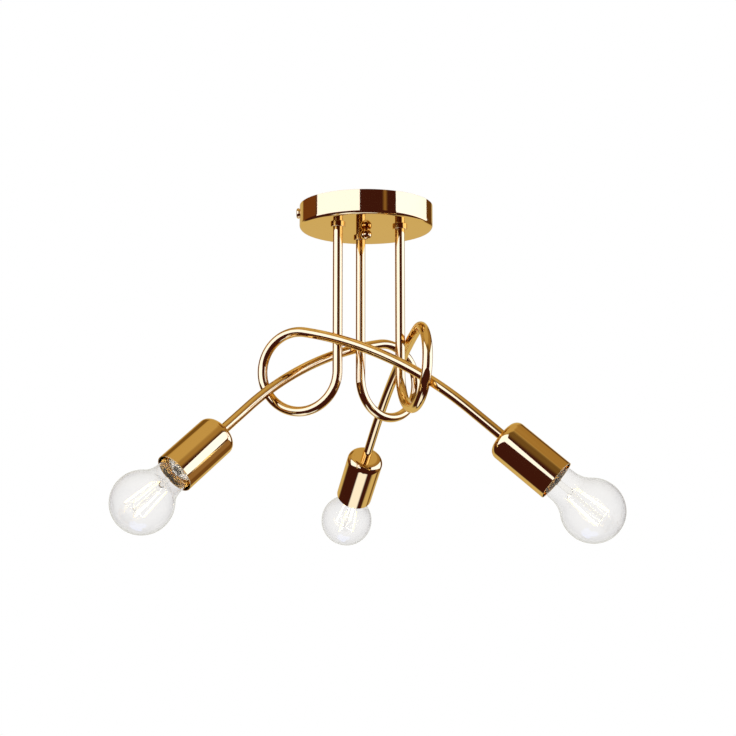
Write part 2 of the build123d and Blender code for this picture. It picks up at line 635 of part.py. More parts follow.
for number, head in HEADS.items():
    with BuildPart() as bulb_tip:
        with BuildSketch(head.profile):
            with BuildLine():
                Polyline(*from_tip([
                    (0, 0),
                    (TIP_RADIUS - TIP_EDGE, 0),
                    (TIP_RADIUS, TIP_HEIGHT),
                    (0, TIP_HEIGHT),
                ]), close=True)
            make_face()
        revolve(axis=head.axis)
    save(bulb_tip, f"bulb_tip_{number}")

    with BuildPart() as bulb_insulator:
        with BuildSketch(head.profile):
            with BuildLine():
                Polyline(*from_tip([
                    (0, TIP_HEIGHT),
                    (TIP_RADIUS + CLEARANCE, TIP_HEIGHT),
                    (INSULATOR_SMALL_RADIUS, INSULATOR_EDGE),
                    (CAP_END_RADIUS - CAP_WALL, INSULATOR_BASE),
                    (0, INSULATOR_BASE),
                ]), close=True)
            make_face()
        revolve(axis=head.axis)
    save(bulb_insulator, f"bulb_insulator_{number}")

    with BuildPart() as bulb_cap:
        with BuildSketch(head.profile):
            with BuildLine():
                Polyline(*from_tip([
                    (CAP_END_RADIUS - CAP_WALL, CAP_TOP),
                    (CAP_END_RADIUS, CAP_TOP),
                    (CAP_RADIUS, CAP_SHOULDER),
                    (CAP_RADIUS, CAP_STRAIGHT_END),
                    (CAP_RIM_RADIUS, CAP_RIM_START),
                    (CAP_RIM_RADIUS, CAP_RIM_END),
                    (CAP_RIM_RADIUS - CAP_WALL, CAP_RIM_END),
                    (CAP_RIM_RADIUS - CAP_WALL, CAP_RIM_START),
                    (CAP_RADIUS - CAP_WALL, CAP_STRAIGHT_END),
                    (CAP_RADIUS - CAP_WALL, CAP_SHOULDER),
                ]), close=True)
            make_face()
        revolve(axis=head.axis)
    save(bulb_cap, f"bulb_cap_{number}")

    with BuildPart() as bulb_glass:
        with BuildSketch(head.profile):
            with BuildLine():
                glass_profile(0.0)
            make_face()
        revolve(axis=head.axis)
        with BuildSketch(head.profile):
            with BuildLine():
                glass_profile(GLASS_WALL)
            make_face()
        revolve(axis=head.axis, mode=Mode.SUBTRACT)
    save(bulb_glass, f"bulb_glass_{number}")

    with BuildPart() as bulb_stem:
        with BuildSketch(head.profile):
            with BuildLine():
                Polyline(*from_tip([
                    (0, STEM_FLARE_START),
                    (STEM_FLARE_RADIUS, STEM_FLARE_START),
                    (STEM_FLARE_END_RADIUS, STEM_FLARE_END),
                    (STEM_WAIST_RADIUS, STEM_WAIST),
                    (STEM_WAIST_RADIUS, STEM_END),
                    (STEM_ROD_RADIUS, STEM_ROD_START),
                    (STEM_ROD_RADIUS, STEM_ROD_END),
                    (0, STEM_ROD_END),
                ]), close=True)
            make_face()
        revolve(axis=head.axis)
    save(bulb_stem, f"bulb_stem_{number}")

    starts = []
    ends = []
    for place in range(FILAMENT_COUNT):
        turn = radians(FILAMENT_FIRST_ANGLE + 360 / FILAMENT_COUNT * place)
        low = head.level(BULB_TIP + FILAMENT_START)
        high = head.level(BULB_TIP + FILAMENT_END)
        starts.append(low.from_local_coords(
            Vector(FILAMENT_START_RADIUS * cos(turn), FILAMENT_START_RADIUS * sin(turn), 0)
        ))
        ends.append(high.from_local_coords(
            Vector(FILAMENT_END_RADIUS * cos(turn), FILAMENT_END_RADIUS * sin(turn), 0)
        ))
    with BuildPart() as bulb_filaments:
        for start, end in zip(starts, ends):
            join = (end - start).normalized() * LEAD_JOIN
            rod_between(start + join, end - join, FILAMENT_RADIUS)
    save(bulb_filaments, f"bulb_filaments_{number}")

    with BuildPart() as bulb_leads:
        root = head.level(BULB_TIP + LEAD_ROOT).origin
        peak = head.level(BULB_TIP + STEM_ROD_END).origin
        for start, end in zip(starts, ends):
            out = (start - root).normalized()
            rod_between(root + out * (STEM_WAIST_RADIUS + LEAD_ROOT_GAP), start, LEAD_RADIUS)
            back = (end - peak).normalized()
            rod_between(peak + back * (STEM_ROD_RADIUS + LEAD_PEAK_GAP), end, LEAD_RADIUS)
    save(bulb_leads, f"bulb_leads_{number}")
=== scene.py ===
"""Dresses the three-arm ceiling light: polished gold metal, clear globe bulbs, a plain pale studio."""

import json
import logging
import math
from dataclasses import dataclass
from enum import Enum
from typing import Callable, Optional, Sequence

import bmesh
import bpy
from mathutils import Matrix, Vector


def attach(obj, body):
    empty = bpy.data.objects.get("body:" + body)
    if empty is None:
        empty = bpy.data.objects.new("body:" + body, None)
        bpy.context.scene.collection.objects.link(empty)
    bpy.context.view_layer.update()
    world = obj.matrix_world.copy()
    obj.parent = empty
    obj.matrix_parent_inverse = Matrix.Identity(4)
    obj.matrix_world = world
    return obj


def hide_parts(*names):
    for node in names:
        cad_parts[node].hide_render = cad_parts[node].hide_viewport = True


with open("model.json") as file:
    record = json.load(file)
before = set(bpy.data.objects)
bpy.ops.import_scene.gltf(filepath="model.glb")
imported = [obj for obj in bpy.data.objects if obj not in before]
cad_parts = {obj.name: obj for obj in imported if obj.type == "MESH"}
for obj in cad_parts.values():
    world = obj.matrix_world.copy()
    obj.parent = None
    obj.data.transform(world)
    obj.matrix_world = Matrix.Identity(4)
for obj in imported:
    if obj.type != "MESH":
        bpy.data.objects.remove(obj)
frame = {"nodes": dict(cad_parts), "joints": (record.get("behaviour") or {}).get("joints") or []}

LOG = logging.getLogger("ceiling_light")
MM = 0.001
ARMS = (1, 2, 3)

Triple = tuple[float, float, float]
Colour = Triple
Corner = Triple
Point = tuple[float, float]
Frame = tuple[Vector, Vector, Vector, float]
Swell = Callable[[float, float, float], float]
Collection = bpy.types.Collection
Material = bpy.types.Material
Mesh = bpy.types.Mesh
Node = bpy.types.Node
Object = bpy.types.Object
Socket = bpy.types.NodeSocket
Tree = bpy.types.NodeTree

# Sizes that several sub-assemblies share, in millimetres and degrees
CANOPY_HEIGHT = 24.5
TUBE_CIRCLE = 37.0
TUBE_FIRST_ANGLE = 219.3
BULB_TIP = 33.4

# Vertices this close together are merged, and points this close to an axis lie on it, in metres
MERGE_DISTANCE = 1e-7
ON_AXIS = 1e-9

# An axis counts as upright when its unit vector rises or falls by this much
NEARLY_UPRIGHT = 0.9

# How far past a rounding its support point lies, as a share of the rounding's radius
CORNER_SUPPORT = 0.08

# The rings of a rounded end, in degrees, and the turn at which an edge is shaded as sharp
CAP_ANGLES = (15, 35, 60, 80)
SHARP_ANGLE = math.radians(32)
GLASS_SHARP_ANGLE = math.radians(40)

# The Mix node's factor and colour sockets, by number, because their names repeat
MIX_INPUTS = (0, 6, 7)
MIX_OUTPUT = 2

FLOAT = "NodeSocketFloat"
COLOUR = "NodeSocketColor"
PAGE_WHITE = (1.0, 1.0, 1.0)
STUDIO_WHITE = (1.0, 0.99, 0.97)


class Slot(Enum):
    """The record's material slots."""

    GOLD = "polished_gold"
    STEEL = "zinc_steel"
    BRASS = "brass_contact"
    HOLDER = "holder_plastic"
    BLOCK = "block_plastic"
    WIRE = "wire_sleeve"
    CAP = "cap_metal"
    INSULATOR = "insulator_glass"
    SOLDER = "solder"
    GLASS = "clear_glass"
    STEM = "stem_glass"
    FILAMENT = "filament"
    LEAD = "lead_wire"


CLEAR = (Slot.GLASS, Slot.STEM)


class Thread(Enum):
    """Which way a thread's crests stand from its profile."""

    OUTSIDE = 1
    INSIDE = -1


class Ends(Enum):
    """How the ends of a pipe or a rod are finished."""

    FLAT = "flat"
    ROUND = "round"


class Lamp(Enum):
    """The kinds of light in the studio."""

    PANEL = "AREA"
    BULB = "POINT"


# Shader nodes


def fill(node: Node, values: dict[str, object]) -> None:
    """Sets the defaults of a node's inputs by their names."""
    for name, value in values.items():
        node.inputs[name].default_value = value


def feed(tree: Tree, socket: Socket, value: object) -> None:
    """Links a socket into an input, or sets a plain value on it.

    Args:
        tree: the node tree.
        socket: the input.
        value: an output, a number, or a colour with its alpha.
    """
    if isinstance(value, Socket):
        tree.links.new(value, socket)
    else:
        socket.default_value = value


def maths(tree: Tree, kind: str, *values: object) -> Socket:
    """Adds a maths node.

    Args:
        tree: the node tree.
        kind: the operation.
        *values: a socket or a number for each input.

    Returns:
        The result.
    """
    node = tree.nodes.new("ShaderNodeMath")
    node.operation = kind
    for socket, value in zip(node.inputs, values):
        feed(tree, socket, value)
    return node.outputs[0]


def mixed_colour(tree: Tree, factor: Socket, first: object, second: object) -> Socket:
    """Mixes two colours, each a socket or a plain colour.

    Args:
        tree: the node tree.
        factor: 0 for the first colour, 1 for the second.
        first: a socket, or a colour with its alpha.
        second: the same.

    Returns:
        The mixed colour.
    """
    node = tree.nodes.new("ShaderNodeMix")
    node.data_type = "RGBA"
    for number, value in zip(MIX_INPUTS, (factor, first, second)):
        feed(tree, node.inputs[number], value)
    return node.outputs[MIX_OUTPUT]


def mixed_shader(tree: Tree, factor: Socket, first: Socket, second: Socket) -> Socket:
    """Mixes two shaders.

    Args:
        tree: the node tree.
        factor: 0 for the first shader, 1 for the second.
        first: the first shader.
        second: the second shader.

    Returns:
        The mixed shader.
    """
    node = tree.nodes.new("ShaderNodeMixShader")
    for socket, source in zip(node.inputs, (factor, first, second)):
        tree.links.new(source, socket)
    return node.outputs[0]


def background(tree: Tree, colour: object, strength: float = 1.0) -> Socket:
    """Adds a background.

    Args:
        tree: the world's node tree.
        colour: a socket, or a colour with its alpha.
        strength: how bright it is, where 1 shows the colour as it is written.

    Returns:
        The background's shader.
    """
    node = tree.nodes.new("ShaderNodeBackground")
    feed(tree, node.inputs["Color"], colour)
    node.inputs["Strength"].default_value = strength
    return node.outputs[0]


def seen_directly(tree: Tree, rays: Node) -> Socket:
    """1 for what the camera sees straight or through glass, from a light path node."""
    return maths(tree, "MAXIMUM", rays.outputs["Is Camera Ray"], rays.outputs["Is Transmission Ray"])


class Effects:
    """The shader node groups that more than one finish uses.

    Their noise is stretched along each axis by its own amount, and counts from its own level.
    """

    even_stretch: Triple = (1.0, 1.0, 1.0)
    wiped_stretch: Triple = (1.0, 1.0, 0.06)
    peeled_stretch: Triple = (0.35, 0.35, 0.35)
    haze_level: float = 0.45
    drift_level: float = 0.5

    def __init__(self) -> None:
        """Builds the groups once."""
        self.haze = self._haze()
        self.marks = self._marks()
        self.drift = self._drift()

    @staticmethod
    def _group(name: str, inputs: dict[str, object], output: str, kind: str) -> tuple[Tree, Node, Node]:
        """Starts a group with its named sockets.

        Args:
            name: the group's name.
            inputs: the default of each input, a number or a colour with its alpha.
            output: name of the one output.
            kind: socket type of the output.

        Returns:
            The tree and its input and output nodes.
        """
        tree = bpy.data.node_groups.new(name, "ShaderNodeTree")
        for label, default in inputs.items():
            socket = FLOAT if isinstance(default, float) else COLOUR
            made = tree.interface.new_socket(name=label, in_out="INPUT", socket_type=socket)
            made.default_value = default
        tree.interface.new_socket(name=output, in_out="OUTPUT", socket_type=kind)
        return tree, tree.nodes.new("NodeGroupInput"), tree.nodes.new("NodeGroupOutput")

    @staticmethod
    def _noise(tree: Tree, scale: Socket, detail: float, stretch: Triple) -> Socket:
        """Adds noise on object coordinates.

        Args:
            tree: the group's tree.
            scale: how fine the noise is.
            detail: how many finer layers it has.
            stretch: how many times finer it is along each axis.

        Returns:
            The noise, from 0 to 1.
        """
        place = tree.nodes.new("ShaderNodeTexCoord")
        mapping = tree.nodes.new("ShaderNodeMapping")
        mapping.inputs["Scale"].default_value = stretch
        noise = tree.nodes.new("ShaderNodeTexNoise")
        noise.inputs["Detail"].default_value = detail
        tree.links.new(place.outputs["Object"], mapping.inputs["Vector"])
        tree.links.new(mapping.outputs["Vector"], noise.inputs["Vector"])
        tree.links.new(scale, noise.inputs["Scale"])
        return noise.outputs["Fac"]

    def _haze(self) -> Tree:
        """Handling haze: the polish is a little duller in soft patches.

        Returns:
            The group.
        """
        inputs = {"Scale": 20.0, "Base": 0.1, "Amount": 0.05}
        tree, given, out = self._group("handling_haze", inputs, "Roughness", FLOAT)
        patches = self._noise(tree, given.outputs["Scale"], detail=3.0, stretch=self.even_stretch)
        above = maths(tree, "SUBTRACT", patches, self.haze_level)
        spread = maths(tree, "MULTIPLY", above, given.outputs["Amount"])
        total = maths(tree, "ADD", spread, given.outputs["Base"])
        tree.links.new(total, out.inputs["Roughness"])
        return tree

    def _marks(self) -> Tree:
        """Fine marks: wipe lines and a faint orange peel, as a height.

        Returns:
            The group.
        """
        inputs = {"Scale": 400.0, "Peel": 0.5}
        tree, given, out = self._group("fine_marks", inputs, "Height", FLOAT)
        lines = self._noise(tree, given.outputs["Scale"], detail=2.0, stretch=self.wiped_stretch)
        peel = self._noise(tree, given.outputs["Scale"], detail=1.0, stretch=self.peeled_stretch)
        raised = maths(tree, "MULTIPLY", peel, given.outputs["Peel"])
        total = maths(tree, "ADD", lines, raised)
        tree.links.new(total, out.inputs["Height"])
        return tree

    def _drift(self) -> Tree:
        """Tone drift: the colour is lighter and darker in broad soft patches.

        Returns:
            The group.
        """
        inputs = {"Colour": (*PAGE_WHITE, 1.0), "Scale": 8.0, "Amount": 0.05}
        tree, given, out = self._group("tone_drift", inputs, "Colour", COLOUR)
        patches = self._noise(tree, given.outputs["Scale"], detail=4.0, stretch=self.even_stretch)
        centred = maths(tree, "SUBTRACT", patches, self.drift_level)
        spread = maths(tree, "MULTIPLY", centred, given.outputs["Amount"])
        factor = maths(tree, "ADD", spread, 1.0)
        scaled = tree.nodes.new("ShaderNodeVectorMath")
        scaled.operation = "SCALE"
        tree.links.new(given.outputs["Colour"], scaled.inputs[0])
        tree.links.new(factor, scaled.inputs["Scale"])
        tree.links.new(scaled.outputs["Vector"], out.inputs["Colour"])
        return tree


# Finishes


def started(name: str) -> tuple[Material, Tree, Node]:
    """Starts a material.

    Args:
        name: its name.

    Returns:
        The material, its tree and its shader.
    """
    material = bpy.data.materials.new(name)
    material.use_nodes = True
    tree = material.node_tree
    return material, tree, tree.nodes["Principled BSDF"]


def placed(tree: Tree, group: Tree, values: dict[str, object]) -> Socket:
    """Places a shared group in a material.

    Args:
        tree: the material's tree.
        group: the shared group.
        values: the group's inputs, by name.

    Returns:
        The group's output.
    """
    node = tree.nodes.new("ShaderNodeGroup")
    node.node_tree = group
    fill(node, values)
    return node.outputs[0]


@dataclass(frozen=True)
class Finish:
    """An opaque finish: a plain shader varied by the shared effects."""

    slot: Slot
    colour: Colour
    metallic: float
    roughness: float
    haze: float = 0.04
    haze_scale: float = 25.0
    drift: float = 0.05
    drift_scale: float = 12.0
    marks_scale: float = 500.0
    marks_peel: float = 0.5
    marks_depth: float = 0.00002
    marks_strength: float = 0.1
    coat: float = 0.0
    edge_tint: Colour = PAGE_WHITE
    glow: Colour = (0.0, 0.0, 0.0)
    glow_strength: float = 0.0

    def build(self, effects: Effects) -> Material:
        """Builds the material.

        Args:
            effects: the shared node groups.

        Returns:
            The material, named after its slot.
        """
        material, tree, shader = started(self.slot.value)
        fill(shader, {
            "Metallic": self.metallic,
            "Coat Weight": self.coat,
            "Specular Tint": (*self.edge_tint, 1.0),
            "Emission Color": (*self.glow, 1.0),
            "Emission Strength": self.glow_strength,
        })
        tone = placed(tree, effects.drift, {
            "Colour": (*self.colour, 1.0), "Scale": self.drift_scale, "Amount": self.drift
        })
        tree.links.new(tone, shader.inputs["Base Color"])
        haze = placed(tree, effects.haze, {
            "Scale": self.haze_scale, "Base": self.roughness, "Amount": self.haze
        })
        tree.links.new(haze, shader.inputs["Roughness"])
        bump = tree.nodes.new("ShaderNodeBump")
        fill(bump, {"Distance": self.marks_depth, "Strength": self.marks_strength})
        marks = placed(tree, effects.marks, {"Scale": self.marks_scale, "Peel": self.marks_peel})
        tree.links.new(marks, bump.inputs["Height"])
        tree.links.new(bump.outputs["Normal"], shader.inputs["Normal"])
        return material


@dataclass(frozen=True)
class GlassFinish:
    """Clear glass that greys a little towards its rim, where the wall is seen edge on."""

    slot: Slot
    colour: Colour
    rim_colour: Colour
    rim_power: float
    rim_blend: float = 0.5
    index: float = 1.45
    haze: float = 0.01
    haze_scale: float = 40.0

    def build(self, effects: Effects) -> Material:
        """Builds the glass.

        Args:
            effects: the shared node groups.

        Returns:
            The material, named after its slot.
        """
        material, tree, shader = started(self.slot.value)
        fill(shader, {"Transmission Weight": 1.0, "IOR": self.index})
        edge = tree.nodes.new("ShaderNodeLayerWeight")
        edge.inputs["Blend"].default_value = self.rim_blend
        rim = maths(tree, "POWER", edge.outputs["Facing"], self.rim_power)
        tone = mixed_colour(tree, rim, (*self.colour, 1.0), (*self.rim_colour, 1.0))
        tree.links.new(tone, shader.inputs["Base Color"])
        haze = placed(tree, effects.haze, {"Scale": self.haze_scale, "Base": 0.0, "Amount": self.haze})
        tree.links.new(haze, shader.inputs["Roughness"])
        return material


FINISHES = (
    Finish(
        Slot.GOLD, (0.95, 0.63, 0.22), 1.0, 0.05, haze=0.02, drift=0.06, marks_strength=0.02,
        edge_tint=(0.95, 0.82, 0.55),
    ),
    Finish(Slot.STEEL, (0.62, 0.63, 0.65), 1.0, 0.28, haze=0.2, marks_strength=0.4),
    Finish(Slot.BRASS, (0.78, 0.55, 0.24), 1.0, 0.22, haze=0.15, marks_strength=0.3),
    Finish(Slot.HOLDER, (0.80, 0.78, 0.72), 0.0, 0.42, haze=0.15, marks_strength=0.3, marks_scale=900.0),
    Finish(Slot.BLOCK, (0.78, 0.78, 0.76), 0.0, 0.38, haze=0.12, marks_strength=0.25),
    Finish(Slot.WIRE, (0.62, 0.58, 0.52), 0.0, 0.5, haze=0.15, marks_strength=0.2),
    Finish(Slot.CAP, (0.88, 0.87, 0.85), 0.6, 0.28, haze=0.1, marks_strength=0.2),
    Finish(Slot.INSULATOR, (0.02, 0.02, 0.025), 0.0, 0.12, haze=0.1, coat=0.3),
    Finish(Slot.SOLDER, (0.66, 0.66, 0.66), 1.0, 0.3, haze=0.2, marks_strength=0.3),
    Finish(
        Slot.FILAMENT, (1.0, 0.88, 0.55), 0.0, 0.5, drift=0.1, drift_scale=900.0,
        glow=(1.0, 0.82, 0.38), glow_strength=1.25,
    ),
    Finish(Slot.LEAD, (0.80, 0.77, 0.70), 0.6, 0.4, haze=0.1),
    GlassFinish(Slot.GLASS, (0.965, 0.96, 0.955), (0.66, 0.66, 0.67), 1.9),
    GlassFinish(Slot.STEM, (0.97, 0.96, 0.93), (0.70, 0.68, 0.66), 2.0, index=1.25),
)


# Pieces


def in_scene(name: str, data: bpy.types.ID) -> Object:
    """Links a new object to the scene.

    Args:
        name: the object's name.
        data: its mesh, light or camera.

    Returns:
        The object.
    """
    shown = bpy.data.objects.new(name, data)
    bpy.context.scene.collection.objects.link(shown)
    return shown


class Workshop:
    """Holds the built finishes, and turns meshes into pieces that ride on their bodies."""

    def __init__(self) -> None:
        """Builds every finish."""
        effects = Effects()
        self.materials = {finish.slot: finish.build(effects) for finish in FINISHES}
        self.glass = bpy.data.collections.new("glass")

    def piece(self, name: str, mesh: Mesh, slot: Slot, body: str, nodes: Sequence[str]) -> Object:
        """Makes an object of a mesh, dresses it and sets it on its body.

        Args:
            name: the piece's name.
            mesh: its mesh, in the row frame.
            slot: its finish.
            body: the CAD body it rides on.
            nodes: the CAD nodes it stands for.

        Returns:
            The object.
        """
        mesh.name = name
        piece = in_scene(name, mesh)
        mesh.materials.append(self.materials[slot])
        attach(piece, body)
        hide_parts(*nodes)
        if slot in CLEAR:
            self.glass.objects.link(piece)
        LOG.info("%s: %d vertices on %s", name, len(mesh.vertices), body)
        return piece

    def dress(self, node: str, slot: Slot) -> None:
        """Gives a carried-over CAD node its finish.

        Args:
            node: the node's name.
            slot: its finish.
        """
        mesh = frame["nodes"][node].data
        mesh.materials.clear()
        mesh.materials.append(self.materials[slot])
        LOG.info("%s: carried over in %s", node, slot.value)


# Shapes


@dataclass(frozen=True)
class Seat:
    """A point, an axis through it, and a direction across the axis."""

    origin: Vector
    axis: Vector

    @classmethod
    def hanging(cls, height: float) -> "Seat":
        """A seat at this height on the lamp's own axis, pointing down."""
        return cls(Vector((0, 0, height)), Vector((0, 0, -1)))

    @property
    def across(self) -> Vector:
        """The first direction square to the axis."""
        other = Vector((0, 0, 1)) if abs(self.axis.z) < NEARLY_UPRIGHT else Vector((1, 0, 0))
        return self.axis.cross(other).normalized()

    def point(self, radius: float, depth: float, turn: float) -> Vector:
        """A point beside the axis.

        Args:
            radius: how far it is from the axis.
            depth: how far along the axis it is.
            turn: its angle about the axis, in radians.

        Returns:
            The point.
        """
        side = self.axis.cross(self.across)
        out = self.across * math.cos(turn) + side * math.sin(turn)
        return self.origin + self.axis * depth + out * radius

    def moved(self, depth: float) -> "Seat":
        """The same axis from a point further along it."""
        return Seat(self.origin + self.axis * depth, self.axis)


def finished_mesh(vertices: Sequence[Vector], faces: Sequence[Sequence[int]]) -> Mesh:
    """Makes a mesh with outward, smooth faces and sharp edges where the surface turns hard.

    Args:
        vertices: its points in metres.
        faces: its faces as vertex numbers.

    Returns:
        The mesh.
    """
    mesh = bpy.data.meshes.new("form")
    mesh.from_pydata([tuple(v) for v in vertices], [], [tuple(f) for f in faces])
    form = bmesh.new()
    form.from_mesh(mesh)
    bmesh.ops.remove_doubles(form, verts=form.verts, dist=MERGE_DISTANCE)
    bmesh.ops.recalc_face_normals(form, faces=form.faces)
    form.to_mesh(mesh)
    form.free()
    mesh.shade_smooth()
    mesh.set_sharp_from_angle(angle=SHARP_ANGLE)
    mesh.validate()
    return mesh


def rounded(points: Sequence[Corner], steps: int = 10) -> list[Point]:
    """Rounds the corners of a profile.

    Args:
        points: radius, depth and corner radius of each point.
        steps: how many chords each rounding has.

    Returns:
        The profile's points, with a support point beside each rounding.
    """
    made: list[Point] = []
    for index, (radius, depth, corner) in enumerate(points):
        here = Vector((radius, depth))
        if corner <= 0 or index in (0, len(points) - 1):
            made.append((radius, depth))
            continue
        before = (Vector(points[index - 1][:2]) - here).normalized()
        after = (Vector(points[index + 1][:2]) - here).normalized()
        half = before.angle(after) / 2
        reach = corner / math.tan(half)
        centre = here + (before + after).normalized() * (corner / math.sin(half))
        start = here + before * reach - centre
        end = here + after * reach - centre
        sweep = start.angle_signed(end)
        made.append(tuple(here + before * (reach + corner * CORNER_SUPPORT)))
        for step in range(steps + 1):
            spoke = start.copy()
            spoke.rotate(Matrix.Rotation(-sweep * step / steps, 2))
            made.append(tuple(centre + spoke))
        made.append(tuple(here + after * (reach + corner * CORNER_SUPPORT)))
    return made


def turned(
    seat: Seat,
    profile: Sequence[Point],
    segments: int = 96,
    closed: bool = True,
    swell: Optional[Swell] = None,
) -> Mesh:
    """Turns a profile about an axis.

    Args:
        seat: the axis, with depths counted from its origin.
        profile: radius and depth of each point, in metres.
        segments: how many steps there are in a full turn.
        closed: whether the last point joins the first.
        swell: gives the radius from radius, depth and turn, where it isn't plain.

    Returns:
        The mesh.
    """
    vertices: list[Vector] = []
    for step in range(segments):
        turn = 2 * math.pi * step / segments
        for radius, depth in profile:
            here = swell(radius, depth, turn) if swell else radius
            vertices.append(seat.point(here, depth, turn))
    count = len(profile)
    faces = []
    for step in range(segments):
        a, b = step * count, (step + 1) % segments * count
        for low in range(count if closed else count - 1):
            high = (low + 1) % count
            ring = [a + low, b + low, b + high, a + high]
            low_on_axis, high_on_axis = profile[low][0] < ON_AXIS, profile[high][0] < ON_AXIS
            if low_on_axis and high_on_axis:
                continue
            if low_on_axis:
                ring = [a + low, b + high, a + high]
            elif high_on_axis:
                ring = [a + low, b + low, a + high]
            faces.append(ring)
    return finished_mesh(vertices, faces)


def path_frames(points: Sequence[Vector], radius: float) -> list[Frame]:
    """A frame at each point of a path, carried along without twist.

    Args:
        points: the path's points.
        radius: the section's radius.

    Returns:
        Centre, direction, first direction across it and radius, at each point.
    """
    tangents = []
    for index in range(len(points)):
        low, high = max(index - 1, 0), min(index + 1, len(points) - 1)
        tangents.append((points[high] - points[low]).normalized())
    normal = Seat(points[0], tangents[0]).across
    frames = []
    for index, tangent in enumerate(tangents):
        if index:
            normal = tangents[index - 1].rotation_difference(tangent) @ normal
        normal = (normal - tangent * normal.dot(tangent)).normalized()
        frames.append((points[index], tangent, normal, radius))
    return frames


def capped(end: Frame, angle: float) -> Frame:
    """The ring of a rounded end at this angle past the end's own ring, below 0 at a path's start."""
    centre, tangent, across, radius = end
    return centre + tangent * radius * math.sin(angle), tangent, across, radius * math.cos(angle)


def piped(path: Sequence[Vector], radii: Sequence[float], segments: int, ends: Ends = Ends.FLAT) -> Mesh:
    """Runs a round section along a path.

    Args:
        path: the centre line's points.
        radii: one radius for a solid rod, or the outer and inner radius of a tube.
        segments: how many sides the section has.
        ends: how a rod's ends are finished; a tube's are flat.

    Returns:
        The mesh.
    """
    frames = path_frames(path, radii[0])
    if ends is Ends.ROUND:
        angles = [math.radians(angle) for angle in CAP_ANGLES]
        head = [capped(frames[0], -angle) for angle in reversed(angles)]
        tail = [capped(frames[-1], angle) for angle in angles]
        frames = head + frames + tail
    vertices: list[Vector] = []
    faces: list[list[int]] = []

    def skin(shrink: float) -> int:
        """Adds one wall.

        Args:
            shrink: how far inside the section's outer radius it runs.

        Returns:
            The number of the wall's first vertex.
        """
        first = len(vertices)
        for centre, tangent, across, radius in frames:
            side = tangent.cross(across)
            for step in range(segments):
                turn = 2 * math.pi * step / segments
                out = across * math.cos(turn) + side * math.sin(turn)
                vertices.append(centre + out * (radius - shrink))
        for ring in range(len(frames) - 1):
            for step in range(segments):
                here, there = first + ring * segments, first + (ring + 1) * segments
                nxt = (step + 1) % segments
                faces.append([here + step, here + nxt, there + nxt, there + step])
        return first

    outer = skin(0.0)
    last_ring = (len(frames) - 1) * segments
    if len(radii) > 1:
        inner = skin(radii[0] - radii[1])
        for ring in (0, last_ring):
            for step in range(segments):
                nxt = (step + 1) % segments
                a, b = outer + ring, inner + ring
                faces.append([a + step, a + nxt, b + nxt, b + step])
    else:
        faces.append([outer + step for step in range(segments)])
        faces.append([outer + last_ring + step for step in range(segments)])
    return finished_mesh(vertices, faces)


def joined(meshes: Sequence[Mesh]) -> Mesh:
    """Puts several meshes together as one.

    Args:
        meshes: the meshes, which are used up.

    Returns:
        The one mesh.
    """
    vertices: list[Vector] = []
    faces: list[list[int]] = []
    for mesh in meshes:
        first = len(vertices)
        vertices += [v.co.copy() for v in mesh.vertices]
        faces += [[first + v for v in face.vertices] for face in mesh.polygons]
        bpy.data.meshes.remove(mesh)
    return finished_mesh(vertices, faces)


def polar(radius: float, degrees: float, height: float = 0.0) -> Vector:
    """A point at this radius and plan angle."""
    turn = math.radians(degrees)
    return Vector((radius * math.cos(turn), radius * math.sin(turn), height))


def spaced(first: Vector, last: Vector, parts: int) -> list[Vector]:
    """Points at even steps from the first to the last, with both of them."""
    return [first.lerp(last, part / parts) for part in range(parts + 1)]


def in_metres(points: Sequence[Sequence[float]]) -> list[tuple[float, ...]]:
    """The same points, from millimetres."""
    return [tuple(value * MM for value in point) for point in points]


# The lamp's sub-assemblies


@dataclass(frozen=True)
class Canopy:
    """The round cup against the ceiling, with the collars round its tubes, in millimetres."""

    radius: float = 69.0
    height: float = CANOPY_HEIGHT
    wall: float = 1.0
    edge: float = 4.0
    rim_edge: float = 0.15
    ring_spacing: float = 8.0
    collar_outer: float = 7.5
    collar_inner: float = 5.0
    collar_height: float = 3.0
    collar_edge: float = 0.45
    collar_ease: float = 0.1

    def profile(self) -> list[Point]:
        """The cup's section, outside and inside, with depths counted down from the ceiling.

        Returns:
            The points, in metres.
        """
        inner = self.radius - self.wall
        floor = self.height - self.wall
        outline = [
            (0.0, self.height, 0.0),
            (self.radius, self.height, self.edge),
            (self.radius, 0.0, self.rim_edge),
            (inner, 0.0, self.rim_edge),
            (inner, floor, self.edge - self.wall),
            (0.0, floor, 0.0),
        ]
        return in_metres(self._with_rings(rounded(outline)))

    def _with_rings(self, points: list[Point]) -> list[Point]:
        """Adds rings on the long straight stretches, which keeps their shading flat.

        Args:
            points: the section's points.

        Returns:
            The same points with more between them.
        """
        made = [points[0]]
        for start, end in zip(points, points[1:]):
            gap = math.dist(start, end)
            parts = max(1, round(gap / self.ring_spacing))
            for part in range(1, parts + 1):
                share = part / parts
                made.append(tuple(a + (b - a) * share for a, b in zip(start, end)))
        return made

    def build(self, shop: Workshop) -> None:
        """Makes the cup and its collars.

        Args:
            shop: where pieces are made.
        """
        down = Seat.hanging(0.0)
        cup = turned(down, self.profile(), segments=192, closed=False)
        shop.piece("canopy_cup", cup, Slot.GOLD, "lamp", ["canopy"])
        rings = []
        collar_end = self.height + self.collar_height
        section = rounded([
            (self.collar_inner, self.height, 0.0),
            (self.collar_outer, self.height, 0.0),
            (self.collar_outer, collar_end, self.collar_edge),
            (self.collar_inner + self.collar_ease, collar_end, 0.0),
        ], steps=6)
        for place in range(len(ARMS)):
            centre = polar(TUBE_CIRCLE * MM, TUBE_FIRST_ANGLE + 360 / len(ARMS) * place)
            rings.append(turned(Seat(centre, down.axis), in_metres(section), segments=64))
        shop.piece("collar_rings", joined(rings), Slot.GOLD, "lamp", ["tube_collars"])


